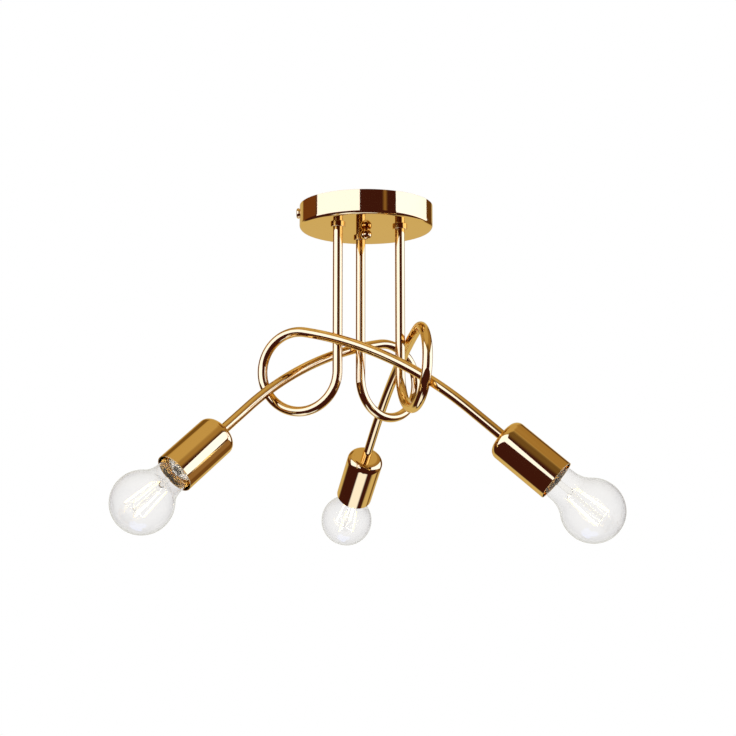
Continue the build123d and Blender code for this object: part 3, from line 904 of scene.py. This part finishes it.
@dataclass(frozen=True)
class Arms:
    """The three looped tubes, in millimetres and degrees.

    They run to the sleeves' heads, each a top face and its axis, in metres.
    """

    heads: dict[int, Seat]
    tube_radius: float = 5.0
    bore_radius: float = 4.0
    face_z: float = -CANOPY_HEIGHT
    top_z: float = -14.0
    drop_length: float = 149.9
    heading: float = 160.2
    loop_radius: float = 40.1
    loop_turn: float = 281.2
    reach_radius: float = 377.0
    reach_turns: Triple = (29.0, 27.8, 30.5)
    end_length: float = 42.3
    side: float = 12.0
    side_start: float = -11.0
    side_end: float = 299.0
    back_bend: float = 1825.0
    twists: Triple = (0.0, -2.1, 3.5)
    angles: Triple = (0.0, -120.0, 120.0)
    step: float = 2.0
    drop_step: float = 20.0
    inside_length: float = 12.0
    end_parts: int = 4

    @property
    def _loop_length(self) -> float:
        """The loop's length along its line."""
        return self.loop_radius * math.radians(self.loop_turn)

    def _in_plane(self, distance: float) -> Point:
        """Follows the loop and the reach in their own plane.

        Args:
            distance: how far past the drop's end, along the line.

        Returns:
            How far out and how far down the line is there.
        """
        loop = self._loop_length
        turn = min(distance, loop) / self.loop_radius
        out = self.loop_radius * (1 - math.cos(turn))
        down = self.loop_radius * math.sin(turn)
        if distance > loop:
            start = turn
            turn = start + (distance - loop) / self.reach_radius
            out += self.reach_radius * (math.cos(start) - math.cos(turn))
            down += self.reach_radius * (math.sin(turn) - math.sin(start))
        return out, down

    def _shift(self, distance: float) -> float:
        """Moves the line sideways, so that the loop clears its own drop.

        Args:
            distance: how far past the drop's end, along the line.

        Returns:
            How far it has moved there.
        """
        share = (distance - self.side_start) / (self.side_end - self.side_start)
        share = min(max(share, 0.0), 1.0)
        past = max(distance - self.side_end, 0.0)
        return self.side * share * share * (3 - 2 * share) - past * past / (2 * self.back_bend)

    def line(self, number: int) -> list[Vector]:
        """An arm's centre line, in metres.

        Args:
            number: the arm's number.

        Returns:
            Points from the tube's top end to its end in the sleeve.
        """
        loop = self._loop_length
        reach = self.reach_radius * math.radians(self.reach_turns[number - 1])
        angle = self.angles[number - 1]
        heading = self.heading + self.twists[number - 1] + angle
        root = polar(TUBE_CIRCLE, TUBE_FIRST_ANGLE + angle, self.face_z - self.drop_length)
        top = polar(TUBE_CIRCLE, TUBE_FIRST_ANGLE + angle, self.top_z)
        parts = max(2, round((top.z - root.z) / self.drop_step))
        points = spaced(top, root, parts)[:-1]
        steps = round((loop + reach) / self.step)
        for index in range(steps):
            distance = (loop + reach) * index / steps
            out, down = self._in_plane(distance)
            side = self._shift(distance) - self._shift(0.0)
            points.append(root + polar(out, heading, -down) + polar(side, heading + 90))
        head = self.heads[number]
        bend_end = head.origin - head.axis * self.end_length * MM
        inside = head.origin + head.axis * self.inside_length * MM
        return [point * MM for point in points] + spaced(bend_end, inside, self.end_parts)

    def build(self, shop: Workshop) -> None:
        """Makes the three tubes.

        Args:
            shop: where pieces are made.
        """
        radii = (self.tube_radius * MM, self.bore_radius * MM)
        for number in ARMS:
            mesh = piped(self.line(number), radii, segments=64)
            shop.piece(f"looped_tube_{number}", mesh, Slot.GOLD, "lamp", [f"arm_tube_{number}"])


@dataclass(frozen=True)
class Sleeve:
    """The cup over one lampholder, in millimetres down from its head, which is its top face."""

    number: int
    head: Seat
    radius: float = 20.5
    length: float = 65.5
    wall: float = 0.8
    top: float = 1.2
    edge: float = 8.4
    mouth_edge: float = 0.25
    hole: float = 5.03

    def build(self, shop: Workshop) -> None:
        """Makes the sleeve.

        Args:
            shop: where pieces are made.
        """
        inner = self.radius - self.wall
        outline = rounded([
            (self.hole, 0.0, 0.0),
            (self.radius, 0.0, self.edge),
            (self.radius, self.length, self.mouth_edge),
            (inner, self.length, self.mouth_edge),
            (inner, self.top, self.edge - self.wall),
            (self.hole, self.top, 0.0),
        ], steps=12)
        mesh = turned(self.head, in_metres(outline), segments=128)
        shop.piece(f"sleeve_cup_{self.number}", mesh, Slot.GOLD, "lamp", [f"sleeve_{self.number}"])


@dataclass(frozen=True)
class ScrewThread:
    """The round thread of a bulb's cap and its holder, in millimetres."""

    pitch: float = 3.629
    depth: float = 0.85

    def swell(self, start: float, end: float, side: Thread) -> Swell:
        """A right-hand thread between two depths.

        Args:
            start: the depth at which the thread fades in, in metres.
            end: the depth at which it has faded out.
            side: whether crests stand out of a plug or into a socket.

        Returns:
            A function from radius, depth and turn to the threaded radius.
        """
        pitch = self.pitch * MM
        depth = self.depth * MM

        def threaded(radius: float, along: float, turn: float) -> float:
            """Threads one point of the profile.

            Args:
                radius: the plain radius.
                along: the depth.
                turn: the angle about the axis.

            Returns:
                The threaded radius.
            """
            if not start <= along <= end:
                return radius
            fade = min(1.0, (along - start) / (pitch / 2), (end - along) / (pitch / 2))
            wave = 0.5 + 0.5 * math.cos(2 * math.pi * along / pitch - turn)
            return radius - side.value * depth * wave * fade

        return threaded


@dataclass(frozen=True)
class Lampholder:
    """The threaded shell in one holder, in millimetres down from the sleeve's head."""

    number: int
    head: Seat
    shell_top: float = 35.4
    shell_mouth: float = 54.4
    shell_inner: float = 13.7
    shell_outer: float = 14.5
    lip: float = 13.5
    lip_height: float = 0.8
    thread_depth: float = 0.5
    thread_inset: float = 1.0
    thread_rows: int = 60
    wall_split: float = 13.8

    def build(self, shop: Workshop) -> None:
        """Makes the threaded shell and dresses the moulded body and the contact.

        Args:
            shop: where pieces are made.
        """
        inner_top = self.shell_top + self.lip_height
        inner_length = self.shell_mouth - inner_top
        inner = [
            (self.shell_inner, self.shell_mouth - inner_length * row / self.thread_rows)
            for row in range(self.thread_rows + 1)
        ]
        outline = [(self.shell_outer, self.shell_top), (self.shell_outer, self.shell_mouth)] + inner
        outline += [(self.lip, inner_top), (self.lip, self.shell_top)]
        start, end = self.shell_top + self.thread_inset, self.shell_mouth - self.thread_inset
        wave = ScrewThread(depth=self.thread_depth).swell(start * MM, end * MM, Thread.INSIDE)

        def inside_only(radius: float, along: float, turn: float) -> float:
            """Threads the inner wall and leaves the outer wall plain."""
            return wave(radius, along, turn) if radius < self.wall_split * MM else radius

        mesh = turned(self.head, in_metres(outline), segments=72, swell=inside_only)
        replaced = [f"holder_shell_{self.number}"]
        shop.piece(f"threaded_shell_{self.number}", mesh, Slot.BRASS, "lamp", replaced)
        shop.dress(f"holder_body_{self.number}", Slot.HOLDER)
        shop.dress(f"centre_contact_{self.number}", Slot.BRASS)


@dataclass(frozen=True)
class Bulb:
    """A clear globe bulb, in millimetres from its tip contact down its axis."""

    number: int
    tip: Seat
    globe_radius: float = 30.0
    globe_centre: float = 75.0
    wall: float = 0.8
    neck_radius: float = 16.6
    blend_radius: float = 25.0
    neck_end: float = 19.0
    neck_end_radius: float = 11.6
    blend_steps: int = 12
    globe_steps: int = 40
    cap_radius: float = 13.2
    cap_wall: float = 0.5
    cap_bevel: float = 1.0
    cap_top: float = 5.0
    cap_shoulder: float = 6.5
    thread_end: float = 20.0
    thread_room: float = 0.9
    thread_rows: int = 64
    wall_split: float = 13.15
    rim_start: float = 22.5
    rim_end: float = 24.2
    rim_radius: float = 14.6
    rim_edge: float = 0.3
    tip_face: float = 3.0
    tip_edge: float = 0.6
    tip_radius: float = 4.2
    tip_gap: float = 0.01
    tip_height: float = 1.6
    insulator_face: float = 4.25
    insulator_edge: Corner = (5.6, 1.8, 0.5)
    insulator_base: float = 5.0
    insulator_radius: float = 11.7
    stem_flare: float = 10.8
    stem_start: float = 20.0
    flare_steps: int = 14
    pinch_start: float = 36.0
    pinch_radius: float = 3.0
    pinch_power: float = 2.2
    pinch: tuple[Point, ...] = ((3.0, 44.0), (3.1, 46.0), (3.1, 48.5), (2.6, 49.6), (1.4, 51.5))
    rod_radius: float = 1.4
    rod_depths: tuple[float, ...] = (60.0, 70.0, 80.0, 85.0)
    rod_bead: float = 1.25
    rod_bead_length: float = 0.5
    rod_end: float = 86.0
    filament_count: int = 4
    filament_angle: float = 45.0
    filament_radius: float = 0.8
    filament_inset: float = 1.6
    filament_parts: int = 12
    low_depth: float = 51.0
    low_radius: float = 8.5
    high_depth: float = 86.5
    high_radius: float = 12.0
    lead_radius: float = 0.2
    lead_parts: int = 6
    lead_root: float = 47.0
    root_gap: float = 3.2
    peak_gap: float = 1.5
    lead_corner: float = 0.4
    lead_end: float = 2.6

    def _glass_wall(self, inset: float) -> list[Point]:
        """The glass's outline from the neck's end to the globe's far end.

        Args:
            inset: how far inside the outer face it runs.

        Returns:
            The points, in millimetres.
        """
        radius = self.globe_radius - inset
        reach = self.globe_radius + self.blend_radius
        aside = self.neck_radius + self.blend_radius
        drop = math.sqrt(reach**2 - aside**2)
        blend_depth = self.globe_centre - drop
        turn = math.asin(drop / reach)
        made = []
        for step in range(self.blend_steps + 1):
            share = step / self.blend_steps
            widening = (self.neck_radius - self.neck_end_radius) * math.sin(share * math.pi / 2)
            depth = self.neck_end + (blend_depth - self.neck_end) * share
            made.append((self.neck_end_radius + widening - inset, depth))
        bend = self.blend_radius + inset
        for step in range(1, self.blend_steps + 1):
            angle = turn * step / self.blend_steps
            made.append((aside - bend * math.cos(angle), blend_depth + bend * math.sin(angle)))
        first = math.pi - math.acos(drop / reach)
        for step in range(1, self.globe_steps + 1):
            angle = first * (1 - step / self.globe_steps)
            made.append((radius * math.sin(angle), self.globe_centre + radius * math.cos(angle)))
        made[-1] = (0.0, self.globe_centre + radius)
        return made

    def _glass(self) -> Mesh:
        """The blown globe, with its outer and inner wall.

        Returns:
            The mesh.
        """
        base = self.neck_end + self.wall
        outer = [(0.0, self.neck_end), (self.neck_end_radius, self.neck_end)] + self._glass_wall(0.0)[1:]
        inner = [(0.0, base), (self.neck_end_radius - self.wall, base)] + self._glass_wall(self.wall)[2:]
        skin = turned(self.tip, in_metres(outer), closed=False)
        hollow = turned(self.tip, in_metres(inner), closed=False)
        hollow.flip_normals()
        return self._two_walls(skin, hollow)

    @staticmethod
    def _two_walls(skin: Mesh, hollow: Mesh) -> Mesh:
        """Joins the globe's two walls.

        Args:
            skin: the outer wall, which is used up.
            hollow: the inner wall, which faces inwards and is used up.

        Returns:
            The one mesh.
        """
        form = bmesh.new()
        form.from_mesh(skin)
        form.from_mesh(hollow)
        mesh = bpy.data.meshes.new("globe")
        form.to_mesh(mesh)
        form.free()
        mesh.shade_smooth()
        mesh.set_sharp_from_angle(angle=GLASS_SHARP_ANGLE)
        bpy.data.meshes.remove(skin)
        bpy.data.meshes.remove(hollow)
        return mesh

    def _contact(self) -> Mesh:
        """The soldered tip contact.

        Returns:
            The mesh.
        """
        section = rounded([
            (0.0, 0.0, 0.0),
            (self.tip_face, 0.0, self.tip_edge),
            (self.tip_radius, self.tip_height, 0.0),
            (0.0, self.tip_height, 0.0),
        ], steps=6)
        return turned(self.tip, in_metres(section), segments=48, closed=False)

    def _insulator(self) -> Mesh:
        """The black glass between the tip contact and the cap.

        Returns:
            The mesh.
        """
        face = self.tip_height + self.tip_gap
        section = rounded([
            (0.0, face, 0.0),
            (self.insulator_face, face, 0.0),
            self.insulator_edge,
            (self.insulator_radius, self.insulator_base, 0.0),
            (0.0, self.insulator_base, 0.0),
        ], steps=6)
        return turned(self.tip, in_metres(section), segments=64, closed=False)

    def _cap(self) -> Mesh:
        """The pressed cap with its rolled thread and its rim.

        Returns:
            The mesh.
        """
        outer = [(self.cap_radius - self.cap_bevel, self.cap_top), (self.cap_radius, self.cap_shoulder)]
        for row in range(1, self.thread_rows + 1):
            depth = self.cap_shoulder + (self.thread_end - self.cap_shoulder) * row / self.thread_rows
            outer.append((self.cap_radius, depth))
        rim_inner = self.rim_radius - self.cap_wall
        inner = [(rim_inner, self.rim_end), (rim_inner, self.rim_start)]
        inner += [(radius - self.cap_wall - self.thread_room, depth) for radius, depth in reversed(outer)]
        outer += [
            (self.rim_radius - self.rim_edge, self.rim_start),
            (self.rim_radius, self.rim_start + self.rim_edge),
            (self.rim_radius, self.rim_end),
        ]
        wave = ScrewThread().swell(self.cap_shoulder * MM, self.thread_end * MM, Thread.OUTSIDE)

        def outside_only(radius: float, along: float, turn: float) -> float:
            """Threads the outer wall and leaves the inner wall plain."""
            return wave(radius, along, turn) if radius > self.wall_split * MM else radius

        return turned(self.tip, in_metres(outer + inner), segments=72, swell=outside_only)

    def _stem(self) -> Mesh:
        """The glass stem: a flare, a round pinch and a thin rod.

        Returns:
            The mesh.
        """
        points = [(0.0, self.stem_start), (self.stem_flare, self.stem_start)]
        for step in range(1, self.flare_steps + 1):
            share = step / self.flare_steps
            flare = (self.stem_flare - self.pinch_radius) * (1 - share) ** self.pinch_power
            depth = self.stem_start + (self.pinch_start - self.stem_start) * share
            points.append((self.pinch_radius + flare, depth))
        points += self.pinch
        points += [(self.rod_radius, depth) for depth in self.rod_depths]
        points.append((self.rod_radius * self.rod_bead, self.rod_end - self.rod_bead_length))
        points += [(self.rod_radius, self.rod_end), (0.0, self.rod_end)]
        return turned(self.tip, in_metres(points), segments=48, closed=False)

    def _ends(self, place: int) -> tuple[Vector, Vector]:
        """Where one lit stick's wires hold it.

        Args:
            place: which stick, counted from 0.

        Returns:
            The low end and the high end.
        """
        turn = math.radians(self.filament_angle + 360 / self.filament_count * place)
        low = self.tip.point(self.low_radius * MM, self.low_depth * MM, turn)
        high = self.tip.point(self.high_radius * MM, self.high_depth * MM, turn)
        return low, high

    def _sticks(self) -> Mesh:
        """The lit sticks, each a coated rod with rounded ends.

        Returns:
            The mesh.
        """
        rods = []
        for place in range(self.filament_count):
            low, high = self._ends(place)
            run = (high - low).normalized() * self.filament_inset * MM
            line = spaced(low + run, high - run, self.filament_parts)
            rods.append(piped(line, [self.filament_radius * MM], segments=20, ends=Ends.ROUND))
        return joined(rods)

    def _leads(self) -> Mesh:
        """The thin wires that hold the sticks, from the pinch and from the rod's end.

        Returns:
            The mesh.
        """
        wires = []
        root = self.tip.point(0, self.lead_root * MM, 0)
        peak = self.tip.point(0, self.rod_end * MM, 0)
        for place in range(self.filament_count):
            low, high = self._ends(place)
            run = (high - low).normalized()
            for hub, end, gap, along in (
                (root, low, self.root_gap, run), (peak, high, self.peak_gap, -run)
            ):
                first = hub + (end - hub).normalized() * gap * MM
                line = spaced(first, end, self.lead_parts)
                line += [end + along * reach * MM for reach in (self.lead_corner, self.lead_end)]
                wires.append(piped(line, [self.lead_radius * MM], segments=10))
        return joined(wires)

    def build(self, shop: Workshop) -> None:
        """Makes the bulb on its two bodies.

        Args:
            shop: where pieces are made.
        """
        body, core = f"bulb_{self.number}", f"bulb_core_{self.number}"
        for name, make, slot, rides, node in (
            ("tip_contact", self._contact, Slot.SOLDER, core, "bulb_tip"),
            ("glazed_insulator", self._insulator, Slot.INSULATOR, body, "bulb_insulator"),
            ("screw_cap", self._cap, Slot.CAP, body, "bulb_cap"),
            ("globe_glass", self._glass, Slot.GLASS, body, "bulb_glass"),
            ("stem", self._stem, Slot.STEM, body, "bulb_stem"),
            ("lit_sticks", self._sticks, Slot.FILAMENT, body, "bulb_filaments"),
            ("stick_wires", self._leads, Slot.LEAD, body, "bulb_leads"),
        ):
            piece = shop.piece(f"{name}_{self.number}", make(), slot, rides, [f"{node}_{self.number}"])
            piece.visible_shadow = slot not in CLEAR


@dataclass(frozen=True)
class Fasteners:
    """The ball nut and the side knob with their washers, in millimetres."""

    face_z: float = -CANOPY_HEIGHT
    washer: float = 0.5
    ball_radius: float = 5.8
    ball_steps: int = 32
    seat_radius: float = 3.95
    seat_ease: float = 0.1
    bore_radius: float = 2.6
    bore_depth: float = 4.0
    knob_radius: float = 5.5
    knob_height: float = 2.8
    knob_edge: float = 2.2
    knob_seat_edge: float = 0.2
    shank_radius: float = 2.0
    shank_length: float = 13.0
    knob_x: float = -69.0
    knob_z: float = -7.0

    def _ball(self) -> Mesh:
        """The ball, cut flat at its seat.

        Returns:
            The mesh.
        """
        first = math.pi - math.asin(self.seat_radius / self.ball_radius)
        centre = self.washer + math.sqrt(self.ball_radius**2 - self.seat_radius**2)
        section = [
            (0.0, self.bore_depth),
            (self.bore_radius, self.bore_depth),
            (self.bore_radius, self.washer),
            (self.seat_radius - self.seat_ease, self.washer),
        ]
        for step in range(self.ball_steps + 1):
            angle = first * (1 - step / self.ball_steps)
            section.append((self.ball_radius * math.sin(angle), centre + self.ball_radius * math.cos(angle)))
        section[-1] = (0.0, centre + self.ball_radius)
        return turned(Seat.hanging(self.face_z * MM), in_metres(section), segments=64, closed=False)

    def build(self, shop: Workshop) -> None:
        """Makes the ball nut and the side knob.

        Args:
            shop: where pieces are made.
        """
        shop.piece("ball_grip", self._ball(), Slot.GOLD, "ball", ["ball_nut"])
        shop.dress("ball_washer", Slot.GOLD)
        shop.dress("knob_washer", Slot.GOLD)
        head = rounded([
            (0.0, self.washer + self.knob_height, 0.0),
            (self.knob_radius, self.washer + self.knob_height, self.knob_edge),
            (self.knob_radius, self.washer, self.knob_seat_edge),
            (self.shank_radius, self.washer, 0.0),
            (self.shank_radius, self.washer - self.shank_length, self.knob_seat_edge),
            (0.0, self.washer - self.shank_length, 0.0),
        ], steps=8)
        seat = Seat(Vector((self.knob_x * MM, 0, self.knob_z * MM)), Vector((-1, 0, 0)))
        mesh = turned(seat, in_metres(head), segments=64, closed=False)
        shop.piece("knob_head", mesh, Slot.GOLD, "knob", ["side_knob"])


@dataclass(frozen=True)
class CeilingFittings:
    """What the canopy hides: the bracket, the stud, the terminal block and the wires."""

    steel: tuple[str, ...] = (
        "ceiling_bracket", "stud", "stud_nut", "tube_washers", "tube_nuts", "sleeve_nuts", "earth_washer",
        "block_screws",
    )

    def build(self, shop: Workshop) -> None:
        """Dresses the carried-over CAD nodes.

        Args:
            shop: where pieces are made.
        """
        for node in self.steel:
            shop.dress(node, Slot.STEEL)
        shop.dress("earth_screw", Slot.BRASS)
        shop.dress("terminal_block", Slot.BLOCK)
        for number in ARMS:
            shop.dress(f"arm_wires_{number}", Slot.WIRE)


# Studio


@dataclass(frozen=True)
class SurroundPatch:
    """One lit or dark part of the studio, as the metal sees it, by compass and height in degrees.

    Compass 0 is the front of the lamp, and 90 is its right. A later patch covers an earlier one.
    """

    west: float
    east: float
    low: float
    high: float
    colour: Colour
    soft: float


PALE_WALL = (0.66, 0.628, 0.51)
PALE_BELOW = (1.05, 1.33, 2.6)

SURROUND = (
    SurroundPatch(150, 200, -30, 95, PALE_WALL, 6.0),
    SurroundPatch(128, 200, -56, -27, PALE_WALL, 4.0),
    SurroundPatch(-200, -132, -52, 95, PALE_WALL, 6.0),
    SurroundPatch(-200, 200, 44, 95, (0.56, 0.447, 0.25), 12.0),
    SurroundPatch(-18, 36, 27, 52, (0.16, 0.105, 0.046), 8.0),
    SurroundPatch(36, 140, 33, 64, (0.38, 0.257, 0.11), 8.0),
    SurroundPatch(-160, -92, 20, 60, (0.46, 0.324, 0.14), 10.0),
    SurroundPatch(-152, -126, 33, 62, (0.19, 0.115, 0.04), 4.0),
    SurroundPatch(-140, -96, 3, 20, (0.16, 0.0571, 0.023), 4.0),
    SurroundPatch(128, 156, -6, 33, (0.13, 0.0666, 0.023), 3.0),
    SurroundPatch(112, 148, -28, -12, (0.18, 0.0952, 0.039), 5.0),
    SurroundPatch(84, 116, -26, -8, (0.3, 0.19, 0.11), 5.0),
    SurroundPatch(30, 35, 2, 32, (0.28, 0.17, 0.07), 3.0),
    SurroundPatch(-170, -40, -95, -60, PALE_BELOW, 3.0),
    SurroundPatch(-200, 200, -95, -78, PALE_BELOW, 4.0),
)


@dataclass(frozen=True)
class SoftBox:
    """An upright soft box that faces the lamp, by compass in degrees and sizes in metres.

    Its glow is what polished metal mirrors; its light is what falls on everything else.
    """

    name: str
    compass: float
    distance: float
    left: float
    right: float
    bottom: float
    top: float
    glow: Colour
    glow_strength: float
    light: Colour
    light_strength: float


SOFT_BOXES = (
    SoftBox("left", -53.0, 1.1, -0.83, 1.02, -0.29, 0.87, (0.34, 0.45, 1.0), 3.5, STUDIO_WHITE, 2.4),
    SoftBox("right", 88.0, 1.1, -0.83, 0.83, -0.42, 0.42, (0.32, 0.44, 1.0), 3.8, STUDIO_WHITE, 2.3),
)


@dataclass(frozen=True)
class Studio:
    """The pale studio: what lights the lamp, what its metal reflects, the floor and the camera.

    It is given the end and axis of each bulb's cap, and the pieces of clear glass.
    """

    tips: dict[int, Seat]
    glass: Collection
    dark: Colour = (0.050, 0.013, 0.014)
    lighting: float = 0.62
    floor_height: float = -1.0
    floor_radius: float = 1.3
    floor_thickness: float = 0.02
    floor_colour: Colour = (0.90, 0.90, 0.89)
    floor_roughness: float = 0.9
    floor_white: float = 0.75
    camera_place: Triple = (0.0039, -1.2182, -0.3208)
    camera_pitch: float = 7.11
    camera_turn: float = 0.09
    focal_length: float = 58.72
    sensor_width: float = 36.0
    bulb_light_colour: Colour = (1.0, 0.88, 0.68)
    bulb_light: float = 0.12
    bulb_light_radius: float = 0.014
    bulb_light_depth: float = 0.070

    @staticmethod
    def _window(tree: Tree, value: Socket, low: float, high: float, soft: float) -> Socket:
        """A soft window that is 1 between two angles in degrees, and 0 outside them.

        Args:
            tree: the world's node tree.
            value: the angle, in radians.
            low: the window's lower side.
            high: its upper side.
            soft: half the width of each side's fade.

        Returns:
            The mask.
        """
        masks = []
        for centre, start, end in ((low, 0.0, 1.0), (high, 1.0, 0.0)):
            ramp = tree.nodes.new("ShaderNodeMapRange")
            ramp.interpolation_type = "SMOOTHSTEP"
            fill(ramp, {
                "From Min": math.radians(centre - soft), "From Max": math.radians(centre + soft),
                "To Min": start, "To Max": end,
            })
            tree.links.new(value, ramp.inputs["Value"])
            masks.append(ramp.outputs["Result"])
        return maths(tree, "MULTIPLY", *masks)

    def _world(self) -> None:
        """Sets up the world, which is made for each kind of ray.

        It is white to the camera and through glass, plain light on matt pieces, and the lit and
        dark sides of a studio in polished metal.
        """
        world = bpy.data.worlds.new("pale_studio")
        bpy.context.scene.world = world
        world.use_nodes = True
        tree = world.node_tree
        tree.nodes.clear()
        place = tree.nodes.new("ShaderNodeTexCoord")
        parts = tree.nodes.new("ShaderNodeSeparateXYZ")
        tree.links.new(place.outputs["Generated"], parts.inputs["Vector"])
        forward = maths(tree, "MULTIPLY", parts.outputs["Y"], -1.0)
        compass = maths(tree, "ARCTAN2", parts.outputs["X"], forward)
        height = maths(tree, "ARCSINE", parts.outputs["Z"])
        colour = (*self.dark, 1.0)
        for patch in SURROUND:
            mask = maths(
                tree, "MULTIPLY",
                self._window(tree, compass, patch.west, patch.east, patch.soft),
                self._window(tree, height, patch.low, patch.high, patch.soft),
            )
            colour = mixed_colour(tree, mask, colour, (*patch.colour, 1.0))
        mirrored = background(tree, colour)
        lit = background(tree, (*STUDIO_WHITE, 1.0), self.lighting)
        plain = background(tree, (*PAGE_WHITE, 1.0))
        rays = tree.nodes.new("ShaderNodeLightPath")
        around = mixed_shader(tree, rays.outputs["Is Glossy Ray"], lit, mirrored)
        shown = mixed_shader(tree, seen_directly(tree, rays), around, plain)
        out = tree.nodes.new("ShaderNodeOutputWorld")
        tree.links.new(shown, out.inputs["Surface"])

    def _floor(self) -> None:
        """Lays a round pale floor well below the lamp, outside the main view."""
        section = [
            (0.0, 0.0), (self.floor_radius, 0.0), (self.floor_radius, self.floor_thickness),
            (0.0, self.floor_thickness),
        ]
        mesh = turned(Seat.hanging(self.floor_height), section, closed=False)
        mesh.name = "floor"
        floor = in_scene("floor", mesh)
        material, tree, shader = started("pale_floor")
        fill(shader, {"Base Color": (*self.floor_colour, 1.0), "Roughness": self.floor_roughness})
        white = tree.nodes.new("ShaderNodeEmission")
        rays = tree.nodes.new("ShaderNodeLightPath")
        share = maths(tree, "MULTIPLY", seen_directly(tree, rays), self.floor_white)
        shown = mixed_shader(tree, share, shader.outputs[0], white.outputs[0])
        tree.links.new(shown, tree.nodes["Material Output"].inputs["Surface"])
        mesh.materials.append(material)
        floor.visible_glossy = False

    @staticmethod
    def _light(name: str, kind: Lamp, colour: Colour) -> Object:
        """Adds a light that stays hidden from the camera and from rays through glass.

        Args:
            name: the light's name.
            kind: its kind.
            colour: its colour.

        Returns:
            The light.
        """
        data = bpy.data.lights.new(name, kind.value)
        data.color = colour
        light = in_scene(name, data)
        light.visible_camera = False
        light.visible_transmission = False
        return light

    def _panel(self, box: SoftBox, name: str, colour: Colour, strength: float) -> Object:
        """Hangs one area light on a soft box's face.

        Args:
            box: the soft box.
            name: the light's name.
            colour: its colour.
            strength: its brightness, where 1 is a white page.

        Returns:
            The light.
        """
        light = self._light(name, Lamp.PANEL, colour)
        data = light.data
        data.shape = "RECTANGLE"
        data.size = box.right - box.left
        data.size_y = box.top - box.bottom
        data.energy = strength * math.pi * data.size * data.size_y
        outward = polar(1.0, box.compass - 90)
        along = Vector((-outward.y, outward.x, 0.0))
        light.location = outward * box.distance + along * (box.left + box.right) / 2
        light.location.z = (box.bottom + box.top) / 2
        light.rotation_mode = "QUATERNION"
        light.rotation_quaternion = (-outward).to_track_quat("-Z", "Y")
        return light

    def _soft_box(self, box: SoftBox) -> None:
        """Hangs a glow for polished metal, which leaves the glass out, and a light for the rest.

        Args:
            box: the soft box.
        """
        glow = self._panel(box, f"{box.name}_soft_box_glow", box.glow, box.glow_strength)
        glow.visible_diffuse = False
        glow.light_linking.receiver_collection = self.glass
        light = self._panel(box, f"{box.name}_soft_box_light", box.light, box.light_strength)
        light.visible_glossy = False

    def _bulb_light(self, number: int) -> None:
        """Lights one bulb softly and warmly, down into its sleeve, and leaves the glass out.

        Args:
            number: the bulb's number.
        """
        light = self._light(f"bulb_light_{number}", Lamp.BULB, self.bulb_light_colour)
        light.data.energy = self.bulb_light
        light.data.shadow_soft_size = self.bulb_light_radius
        light.location = self.tips[number].point(0.0, self.bulb_light_depth, 0.0)
        light.light_linking.receiver_collection = self.glass

    def _camera(self) -> None:
        """Sets the camera at the photograph's place, looking slightly up."""
        data = bpy.data.cameras.new("camera")
        data.lens = self.focal_length
        data.sensor_width = self.sensor_width
        camera = in_scene("camera", data)
        camera.location = self.camera_place
        pitch, turn = math.radians(90 + self.camera_pitch), math.radians(self.camera_turn)
        camera.rotation_euler = (pitch, 0.0, turn)
        bpy.context.scene.camera = camera

    def build(self) -> None:
        """Sets up the studio."""
        for entry in self.glass.collection_objects:
            entry.light_linking.link_state = "EXCLUDE"
        bpy.context.scene.view_settings.view_transform = "Standard"
        self._world()
        self._floor()
        for box in SOFT_BOXES:
            self._soft_box(box)
        for number in self.tips:
            self._bulb_light(number)
        self._camera()


def main() -> None:
    """Builds the lamp's pieces in order, then the studio."""
    logging.basicConfig(level=logging.INFO, format="%(name)s: %(message)s")
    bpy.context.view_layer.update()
    joints = {joint["name"]: joint for joint in frame["joints"]}
    tips = {}
    for number in ARMS:
        joint = joints[f"bulb_{number}_turn"]
        tips[number] = Seat(Vector(joint["pos_m"]), Vector(joint["axis"]).normalized())
    heads = {number: tip.moved(-BULB_TIP * MM) for number, tip in tips.items()}
    shop = Workshop()
    Canopy().build(shop)
    Arms(heads).build(shop)
    Fasteners().build(shop)
    CeilingFittings().build(shop)
    for number in ARMS:
        Sleeve(number, heads[number]).build(shop)
        Lampholder(number, heads[number]).build(shop)
        Bulb(number, tips[number]).build(shop)
    Studio(tips, shop.glass).build()


if __name__ == "__main__":
    main()
